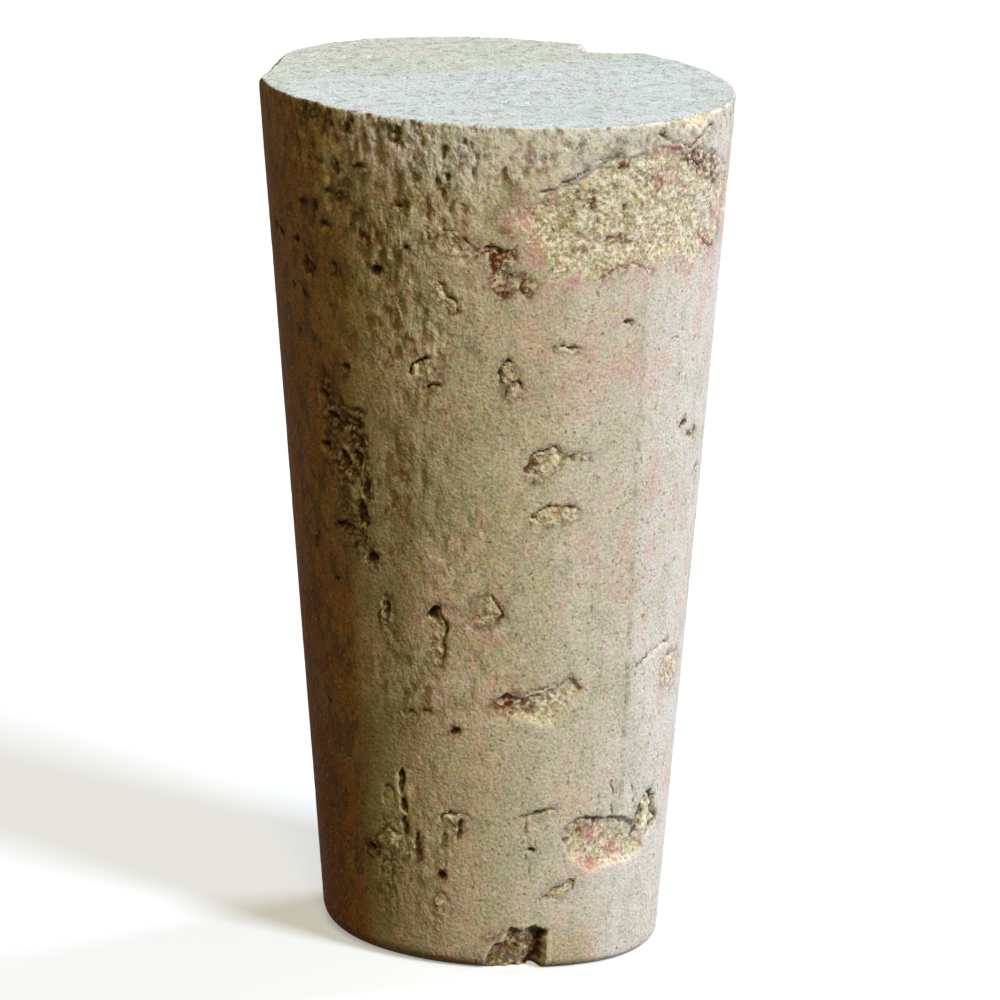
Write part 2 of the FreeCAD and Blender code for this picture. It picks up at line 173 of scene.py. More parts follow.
@dataclass(frozen=True)
class Tear:
    """A crumbled place where a flake has come away: crisp along its upper edge, softer along its lower one.

    Lengths are in millimetres. soft is the width of its lower edge, and the shares are for the painted shade
    along its lip and splits and for its rose and bark dust.
    fade holds two bearings between which it grows shallow, and the share of its depth that is left.
    """

    depth: float
    rough: float
    middle: Place
    outline: Tuple[Place, ...]
    soft: float = 0.3
    painted_shade_share: float = 0.5
    rose: float = 0.0
    bark: float = 0.0
    fade: Tuple[float, float, float] = (180.0, 181.0, 1.0)


@dataclass(frozen=True)
class Notch:
    """A notch broken out of the foot's edge, which grows deeper towards the foot face.

    Places in its outline that lie below zero are past the foot face. reach is how far round and up from its
    middle it extends, and slant holds bearings and the share of the full depth that it has there.
    """

    outline: Tuple[Place, ...]
    middle: Place = (8.5, 0.6)
    reach: Place = (3.2, 2.6)
    depth_at_foot: float = 1.45
    depth_at_top: float = 0.45
    tall: float = 2.1
    slant: Tuple[Tuple[float, ...], Tuple[float, ...]] = ((-2.0, 8.0, 14.5, 17.0), (0.35, 0.55, 0.75, 1.0))


@dataclass(frozen=True)
class Crack:
    """A narrow split in the side along places on it."""

    width: float
    depth: float
    route: Tuple[Place, ...]
    rust: float = 0.3


@dataclass(frozen=True)
class Chip:
    """A piece broken off the head's rim between two bearings, largest at its peak."""

    start: float
    end: float
    inset: float
    drop: float
    peak: float = 0.5


class Dust(Enum):
    """Colours of the dust that lenticels leave in torn cork, by the names of their attributes."""

    BARK = "bark"
    MOSS = "moss"
    ROSE = "rose"
    RUST = "rust"
    MAROON = "maroon"
    PALE = "pale"


@dataclass(frozen=True)
class Tone:
    """A zone that is paler, or browner, than the rest of the skin, added to its tone and painted light.

    shares are what it adds at its bearings, and it comes in between two heights, or between two distances
    below the rim.
    """

    bearings: Tuple[float, ...]
    shares: Tuple[float, ...]
    none_at: float
    whole_at: float
    from_rim: bool = False

    def over(self, bearings: np.ndarray, heights: np.ndarray, length: float) -> np.ndarray:
        """What it adds over rows of heights and columns of bearings."""
        away = length - heights if self.from_rim else heights
        round_side = np.interp(bearings, self.bearings, self.shares)[None, :]
        return round_side * smooth_step(self.none_at, self.whole_at, away)[:, None]


# The blank: how much it leans, and how worn the arris of its foot is round it.
LEAN_DEGREES = 2.21
FOOT_ARRIS_TALL = 1.0
FOOT_ARRIS_ROWS = 12
FOOT_ARRIS_BEARINGS = (-180.0, -90.0, -35.0, 25.0, 50.0, 90.0, 180.0)
FOOT_ARRIS_SIZES = (0.70, 0.95, 0.85, 0.60, 0.42, 0.50, 0.70)


@dataclass(frozen=True)
class Blank:
    """The ground blank before anything is torn out of it, in millimetres."""

    length: float
    head_radius: float
    foot_radius: float = 7.35
    lean: float = math.tan(math.radians(LEAN_DEGREES))
    head_arris: float = 0.09

    def radius(self, height: np.ndarray) -> np.ndarray:
        """Radius of the straight taper at a height."""
        return self.foot_radius + (self.head_radius - self.foot_radius) * height / self.length

    def radius_at(self, height: float) -> float:
        """Radius at one height, or at the foot where that is below it."""
        return float(self.radius(np.float64(max(height, 0.0))))

    def rows(self, step: float) -> np.ndarray:
        """Heights of the side's rows: close together over the foot's arris, then evenly up to the rim.

        Args:
            step: Spacing of the rows above the arris, in millimetres.

        Returns:
            The heights, in millimetres, from the foot face up.
        """
        turn = np.linspace(0.0, math.pi / 2, FOOT_ARRIS_ROWS)
        arris = FOOT_ARRIS_TALL * (1.0 - np.cos(turn))
        rim = self.length - self.head_arris
        straight = np.linspace(FOOT_ARRIS_TALL, rim, int((rim - FOOT_ARRIS_TALL) / step))
        return np.concatenate([arris, straight[1:], [self.length]])

    def ground(self, bearings: np.ndarray, heights: np.ndarray) -> np.ndarray:
        """Radius of the ground side: the taper, a quarter round at the foot, and a sharp rim.

        Args:
            bearings: Bearings of the columns, in degrees.
            heights: Heights of the rows, in millimetres.

        Returns:
            Radii, (rows, columns), in millimetres.
        """
        worn = np.interp(bearings, FOOT_ARRIS_BEARINGS, FOOT_ARRIS_SIZES)[None, :]
        short = np.clip(1.0 - heights[:, None] / worn, 0.0, 1.0)
        radii = self.radius(heights)[:, None] - worn * (1.0 - np.sqrt(1.0 - short * short))
        radii[-1] = self.head_radius - self.head_arris
        return radii


# Pits below the head: the second number is how far below the head face each lies.
HEAD_PITS = (
    Pit(-41.5, 2.8, 0.5, 0.8, 0.30, plug=0.0, painted_shade_share=1.0),
    Pit(-34.8, 2.45, 0.6, 0.5, 0.28, plug=0.0, painted_shade_share=1.0),
    Pit(-37.8, 0.9, 0.4, 0.6, 0.30, plug=0.0, painted_shade_share=1.0),
    Pit(-50.9, 4.8, 0.5, 0.8, 0.30, rust=0.8, plug=0.0, painted_shade_share=0.9),
    Pit(-55.0, 4.55, 0.6, 0.5, 0.25, rust=0.8, plug=0.0, painted_shade_share=0.9),
    Pit(-10.4, 5.35, 2.4, 1.15, 0.30, -22.0, rust=0.3, plug=0.75, painted_shade_share=0.5),
    Pit(-22.8, 3.8, 0.6, 0.5, 0.28, rust=0.6, plug=0.0, painted_shade_share=0.9),
    Pit(-21.8, 5.7, 0.5, 0.4, 0.30, plug=0.0, painted_shade_share=1.0),
    Pit(-38.0, 5.1, 0.3, 0.4, 0.22, rust=0.8, plug=0.0, painted_shade_share=0.8),
    Pit(-34.2, 5.5, 0.5, 0.3, 0.22, rust=0.8, plug=0.0, painted_shade_share=0.8),
    Pit(-24.0, 0.8, 0.4, 0.9, 0.26, rust=0.6, plug=0.0, painted_shade_share=0.9),
    Pit(-10.8, 2.4, 0.35, 0.5, 0.26, plug=0.0, painted_shade_share=0.9),
    Pit(-40.6, 3.9, 0.4, 0.7, 0.26, plug=0.0, painted_shade_share=0.9),
    Pit(-53.5, 0.35, 0.5, 0.5, 0.18, plug=0.0, painted_shade_share=1.0),
    Pit(-44.0, 0.6, 0.3, 0.7, 0.20, plug=0.0, painted_shade_share=0.9),
    Pit(1.4, 6.1, 0.7, 1.5, 0.38, 8.0, rust=1.0, plug=0.3, painted_shade_share=0.8),
    Pit(-0.6, 5.4, 0.9, 0.35, 0.30, rust=1.0, plug=0.2, painted_shade_share=0.8),
    Pit(3.9, 5.6, 0.9, 0.5, 0.35, 35.0, rust=0.9, plug=0.3),
    Pit(5.6, 6.6, 0.7, 0.5, 0.35, rust=0.9, plug=0.3),
    Pit(-31.2, 6.9, 0.48, 0.5, 0.65, rust=0.0, plug=0.0, painted_shade_share=1.0),
    Pit(-69.0, 6.4, 0.7, 0.6, 0.45, plug=0.0, painted_shade_share=1.0),
    Pit(-73.0, 6.3, 0.5, 0.5, 0.35, plug=0.0, painted_shade_share=1.0),
    Pit(-59.8, 6.5, 0.5, 0.5, 0.35, plug=0.1, painted_shade_share=1.0),
    Pit(-63.0, 8.6, 0.5, 0.6, 0.30, plug=0.0, painted_shade_share=1.0),
    Pit(-54.7, 7.5, 0.9, 1.2, 0.45, plug=0.2, painted_shade_share=1.0),
    Pit(-57.0, 8.9, 0.6, 0.5, 0.30, plug=0.1, painted_shade_share=1.0),
    Pit(-47.0, 5.4, 0.8, 0.4, 0.28, plug=0.1, painted_shade_share=0.9),
    Pit(-44.0, 3.8, 0.9, 0.5, 0.28, plug=0.3, painted_shade_share=0.9),
    Pit(-62.0, 2.2, 0.4, 0.6, 0.28, plug=0.0, painted_shade_share=1.0),
    Pit(-44.3, 7.15, 0.6, 0.5, 0.25, rust=0.7, plug=0.1, painted_shade_share=0.8),
    Pit(-12.8, 7.65, 2.0, 0.95, 0.38, -50.0, rust=0.45, plug=0.7, painted_shade_share=0.6, lip=60.0),
    Pit(9.0, 7.1, 0.7, 1.0, 0.35, 30.0, rust=0.3, plug=0.7, painted_shade_share=0.8),
    Pit(-23.7, 8.4, 0.32, 0.8, 0.30, rust=0.1),
)

FRONT_PITS = (
    Pit(37.0, 29.3, 0.6, 0.35, 0.25, rust=1.0, plug=0.0),
    Pit(20.0, 28.2, 1.5, 0.6, 0.32, rust=0.2, plug=0.8, painted_shade_share=0.7),
    Pit(-61.0, 27.3, 0.5, 0.5, 0.25),
    Pit(-17.9, 27.0, 1.6, 1.35, 0.60, rust=0.3, plug=0.7, painted_shade_share=1.0, lip=150.0),
    Pit(-15.9, 26.2, 0.8, 0.25, 0.30, 15.0, plug=0.2, painted_shade_share=0.9),
    Pit(4.0, 27.1, 0.9, 1.2, 0.42, 12.0, rust=0.5, plug=0.6, painted_shade_share=0.9),
    Pit(6.2, 26.3, 0.8, 1.1, 0.42, -15.0, rust=0.5, plug=0.6, painted_shade_share=0.9),
    Pit(62.0, 24.1, 0.6, 0.42, 0.40, rust=0.5, plug=0.0, painted_shade_share=1.0),
    Pit(66.0, 23.6, 0.5, 0.3, 0.30, rust=0.6),
    Pit(70.3, 23.4, 0.9, 0.8, 0.32, -30.0, rust=0.2),
    Pit(15.0, 23.1, 1.9, 1.35, 0.48, 20.0, rust=0.45, plug=0.6, painted_shade_share=0.9, lip=100.0),
    Pit(11.0, 22.8, 0.5, 1.0, 0.35, -25.0, rust=0.9, plug=0.2),
    Pit(24.0, 23.35, 1.0, 0.32, 0.25, 6.0, rust=0.6, plug=0.4),
    Pit(76.0, 21.6, 1.0, 0.35, 0.25, rust=0.2),
    Pit(18.3, 20.75, 2.6, 1.15, 0.42, 3.0, rust=0.25, plug=0.75, painted_shade_share=0.85, lip=90.0),
    Pit(11.6, 20.7, 0.35, 0.35, 0.3, rust=1.0, plug=0.0),
    Pit(-59.0, 18.1, 0.4, 1.2, 0.35, painted_shade_share=0.9),
    Pit(-50.0, 16.8, 0.6, 0.35, 0.30, painted_shade_share=0.9),
    Pit(-31.0, 15.5, 1.0, 2.2, 0.30, rust=0.1, plug=0.6),
    Pit(-31.0, 16.1, 0.4, 0.7, 0.62, rust=0.1, plug=0.0, painted_shade_share=1.0),
    Pit(-16.0, 15.1, 0.9, 2.7, 0.40, rust=0.15, plug=0.5, painted_shade_share=0.9, lip=0.0),
    Pit(-16.0, 16.05, 0.6, 0.7, 0.62, rust=0.6, plug=0.0, painted_shade_share=1.0),
    Pit(-1.7, 16.35, 1.55, 1.6, 0.36, rust=0.55, plug=0.75, painted_shade_share=0.75, lip=20.0),
    Pit(5.5, 12.3, 1.0, 0.6, 0.34, rust=0.9, plug=0.2, painted_shade_share=0.7),
    Pit(69.0, 12.8, 2.6, 1.8, 0.22, rust=0.1, plug=0.7, painted_shade_share=0.4),
    Pit(-19.5, 11.6, 0.6, 0.5, 0.28, rust=0.5),
    Pit(-25.0, 11.5, 0.8, 0.25, 0.2, rust=0.5),
    Pit(-11.4, 10.8, 0.55, 0.5, 0.40, rust=0.9, plug=0.0, painted_shade_share=0.9),
    Pit(-58.6, 10.9, 0.4, 0.4, 0.25),
    Pit(-28.2, 8.3, 0.38, 1.0, 0.60, rust=0.0, plug=0.0, painted_shade_share=1.0),
    Pit(-28.2, 7.25, 0.34, 0.8, 0.60, rust=0.0, plug=0.0, painted_shade_share=1.0),
    Pit(-33.5, 7.4, 0.9, 1.4, 0.25, 25.0, rust=0.0, plug=0.5, painted_shade_share=0.4),
    Pit(56.0, 6.3, 0.55, 1.6, 0.60, plug=0.0, painted_shade_share=1.0),
    Pit(-33.0, 5.2, 2.6, 1.5, 0.24, 12.0, plug=0.7, painted_shade_share=0.5),
    Pit(-35.6, 3.2, 1.0, 2.4, 0.22, plug=0.7, painted_shade_share=0.7),
    Pit(-28.5, 6.2, 0.3, 0.9, 0.45, plug=0.0, painted_shade_share=1.0),
    Pit(-11.0, 6.6, 1.5, 1.2, 0.26, plug=0.7, painted_shade_share=0.55),
    Pit(-9.3, 6.4, 0.3, 0.9, 0.30, plug=0.0, painted_shade_share=0.8),
    Pit(-14.6, 5.4, 0.4, 1.7, 0.18, plug=0.3, painted_shade_share=0.6),
    Pit(-16.4, 2.6, 0.8, 1.5, 0.14, plug=0.6, painted_shade_share=0.45),
    Pit(60.5, 6.4, 2.0, 2.2, 0.70, rust=0.05, plug=0.6, painted_shade_share=0.7, lip=10.0),
    Pit(64.6, 6.5, 0.5, 1.7, 0.60, plug=0.0, painted_shade_share=1.0),
    Pit(27.5, 5.9, 0.5, 1.2, 0.45, -20.0, plug=0.2, painted_shade_share=0.9),
    Pit(36.0, 6.5, 0.7, 0.4, 0.45, rust=0.8, plug=0.0, painted_shade_share=0.8),
    Pit(39.0, 5.4, 0.3, 0.3, 0.42, plug=0.0, painted_shade_share=0.9),
    Pit(46.5, 5.6, 0.3, 0.9, 0.42, -25.0, plug=0.0, painted_shade_share=0.9),
    Pit(-10.0, 6.9, 0.8, 0.9, 0.30, rust=0.3, plug=0.6),
    Pit(-23.7, 5.4, 0.4, 1.2, 0.30, plug=0.0, painted_shade_share=0.8),
    Pit(13.2, 5.6, 0.3, 0.3, 0.40, rust=0.3, plug=0.0, painted_shade_share=1.0),
    Pit(-41.5, 4.9, 0.6, 0.5, 0.42, plug=0.0, painted_shade_share=1.0),
    Pit(-61.0, 6.0, 0.5, 0.4, 0.3),
    Pit(-15.6, 4.2, 0.5, 0.5, 0.35, rust=1.0, plug=0.0, painted_shade_share=0.9),
    Pit(24.0, 3.7, 1.6, 0.6, 0.22, 12.0, rust=0.2, plug=0.7, painted_shade_share=0.5),
    Pit(18.7, 1.1, 0.3, 1.7, 1.35, rust=0.0, plug=0.0, painted_shade_share=1.0),
)

STREAK_PITS = (
    Pit(-51.6, 24.8, 0.6, 0.9, 0.60, painted_shade_share=1.0, plug=0.1),
    Pit(-48.6, 24.0, 0.8, 0.7, 0.55, painted_shade_share=1.0, plug=0.1),
    Pit(-40.5, 23.9, 1.6, 0.7, 0.45, painted_shade_share=0.9, plug=0.3),
    Pit(-51.5, 22.6, 0.7, 0.6, 0.50, painted_shade_share=1.0, plug=0.1),
    Pit(-45.3, 22.2, 0.7, 1.1, 0.62, painted_shade_share=1.0, plug=0.1),
    Pit(-40.0, 22.3, 0.8, 1.3, 0.62, painted_shade_share=1.0, plug=0.2),
    Pit(-36.9, 21.3, 0.4, 0.9, 0.45, painted_shade_share=1.0, plug=0.0),
    Pit(-39.3, 19.9, 0.9, 1.5, 0.60, rust=0.7, painted_shade_share=1.0, plug=0.2),
    Pit(-46.2, 19.3, 1.0, 0.5, 0.42, rust=0.6, painted_shade_share=0.9, plug=0.2),
    Pit(-36.0, 18.2, 0.8, 0.45, 0.50, painted_shade_share=1.0, plug=0.0),
    Pit(-42.0, 26.5, 0.35, 0.35, 0.40, painted_shade_share=1.0, plug=0.0),
)

PATCH_PITS = (
    Pit(20.0, 3.7, 0.45, 1.0, 0.42, plug=0.3, painted_shade_share=0.4),
    Pit(24.4, 3.4, 0.3, 0.5, 0.42, rust=0.7, plug=0.0, painted_shade_share=0.6),
    Pit(32.5, 2.0, 0.45, 0.35, 0.45, plug=0.0, painted_shade_share=0.8),
    Pit(33.8, 3.8, 0.35, 0.5, 0.48, plug=0.0, painted_shade_share=0.9),
    Pit(36.5, 4.5, 0.3, 0.3, 0.45, plug=0.0, painted_shade_share=0.9),
    Pit(44.0, 0.65, 0.45, 0.35, 0.30, plug=0.0, painted_shade_share=1.0),
    Pit(31.5, 5.0, 0.3, 0.3, 0.45, plug=0.0, painted_shade_share=0.8),
    Pit(43.0, 2.7, 0.8, 0.9, 0.45, rust=0.6, plug=0.5, painted_shade_share=0.4),
    Pit(58.0, 2.3, 1.6, 0.6, 0.48, -28.0, rust=0.6, plug=0.4, painted_shade_share=0.6),
    Pit(68.0, 3.3, 1.4, 0.5, 0.45, -28.0, rust=0.5, plug=0.4, painted_shade_share=0.6),
)

PATCH = Tear(0.15, 0.07, (46.0, 3.7), (
    (4.0, 3.8), (11.7, 2.8), (18.0, 2.5), (25.0, 1.7), (30.5, 1.3), (37.0, 1.4), (43.0, 1.0),
    (52.0, 1.5), (60.0, 1.3), (70.0, 2.0), (80.0, 2.8), (90.0, 3.4), (97.0, 4.4), (92.0, 5.5),
    (82.0, 5.8), (70.0, 6.3), (60.0, 6.8), (50.0, 6.2), (42.0, 6.5), (31.7, 6.4), (24.5, 7.1),
    (21.0, 6.6), (15.5, 6.7), (11.5, 5.8), (7.5, 5.0),
), soft=1.2, painted_shade_share=0.30, rose=0.7, fade=(44.0, 104.0, 0.35))
TEARS = (
    Tear(0.12, 0.14, (-43.0, 21.9), (
        (-53.0, 25.4), (-50.5, 26.6), (-47.0, 25.5), (-42.0, 24.7), (-36.2, 24.9), (-35.3, 23.3),
        (-35.5, 21.4), (-36.2, 19.6), (-34.2, 18.0), (-38.0, 17.6), (-42.5, 18.3), (-47.5, 18.9),
        (-48.0, 20.4), (-51.0, 22.0), (-53.5, 23.6),
    ), soft=0.9, painted_shade_share=0.9, bark=0.85),
    Tear(0.30, 0.09, (41.0, 5.7), (
        (22.8, 6.2), (26.5, 6.8), (31.2, 6.95), (38.0, 6.8), (46.8, 6.9), (53.2, 6.5), (58.0, 5.6),
        (60.5, 4.8), (53.8, 4.6), (44.0, 4.5), (38.8, 4.45), (33.0, 4.35), (28.0, 4.8), (24.5, 5.5),
    ), soft=0.5, painted_shade_share=0.45, rose=0.5),
    Tear(0.24, 0.10, (16.0, 12.2), (
        (1.0, 12.2), (4.5, 12.7), (10.5, 12.6), (16.5, 12.9), (21.0, 13.2), (25.5, 13.45), (29.2, 12.8),
        (25.5, 12.3), (23.0, 11.6), (18.5, 11.3), (12.0, 11.4), (6.5, 11.7),
    ), soft=0.3, painted_shade_share=0.30),
)
NOTCH_OUTLINE = (
    (-2.5, -0.8), (-1.5, 0.5), (1.5, 1.2), (4.5, 1.3), (7.2, 2.05), (11.5, 1.85), (15.5, 2.1),
    (19.0, 1.95), (19.4, 0.6), (19.3, -0.8),
)

RIM_CHIPS = (
    Chip(-123.0, -77.0, 0.70, 0.80, 0.60),
    Chip(42.0, 67.0, 0.50, 0.72, 0.60),
    Chip(141.0, 159.5, 1.70, 1.00, 0.75),
    Chip(-56.0, -49.5, 0.18, 0.40),
)

HEAD_CRACKS = (
    Crack(0.06, 0.24, ((11.0, 2.85), (14.5, 2.75), (18.0, 2.4), (23.0, 1.75)), rust=0.7),
    Crack(0.04, 0.12, ((24.5, 1.6), (29.0, 1.35), (32.0, 1.15)), rust=0.7),
    Crack(0.06, 0.20, ((42.4, 0.5), (48.0, 1.05), (55.0, 1.2), (59.6, 1.1), (65.0, 0.6)), rust=0.5),
    Crack(0.045, 0.14, ((26.0, 6.65), (31.0, 6.3), (37.0, 6.25), (42.8, 6.5)), rust=1.0),
    Crack(0.07, 0.20, ((61.0, 5.25), (66.0, 5.8), (71.0, 6.15)), rust=1.0),
)
CRACKS = (
    Crack(0.05, 0.16, ((10.0, 12.7), (17.8, 13.15), (26.2, 13.5)), rust=0.4),
    Crack(0.06, 0.18, ((11.0, 7.2), (16.0, 7.45), (21.5, 7.25)), rust=0.2),
    Crack(0.06, 0.14, ((49.0, 13.6), (56.0, 14.2), (66.0, 14.3)), rust=0.0),
    Crack(0.05, 0.12, ((16.5, 3.3), (19.5, 3.8), (24.0, 4.0), (29.5, 3.9), (29.0, 3.55)), rust=0.3),
    Crack(0.05, 0.05, ((12.0, 6.9), (12.2, 5.6), (12.5, 4.4)), rust=0.2),
    Crack(0.05, 0.06, ((41.6, 9.2), (42.1, 8.0), (42.8, 6.95)), rust=0.2),
    Crack(0.05, 0.05, ((50.0, 8.6), (51.5, 7.25)), rust=0.2),
)

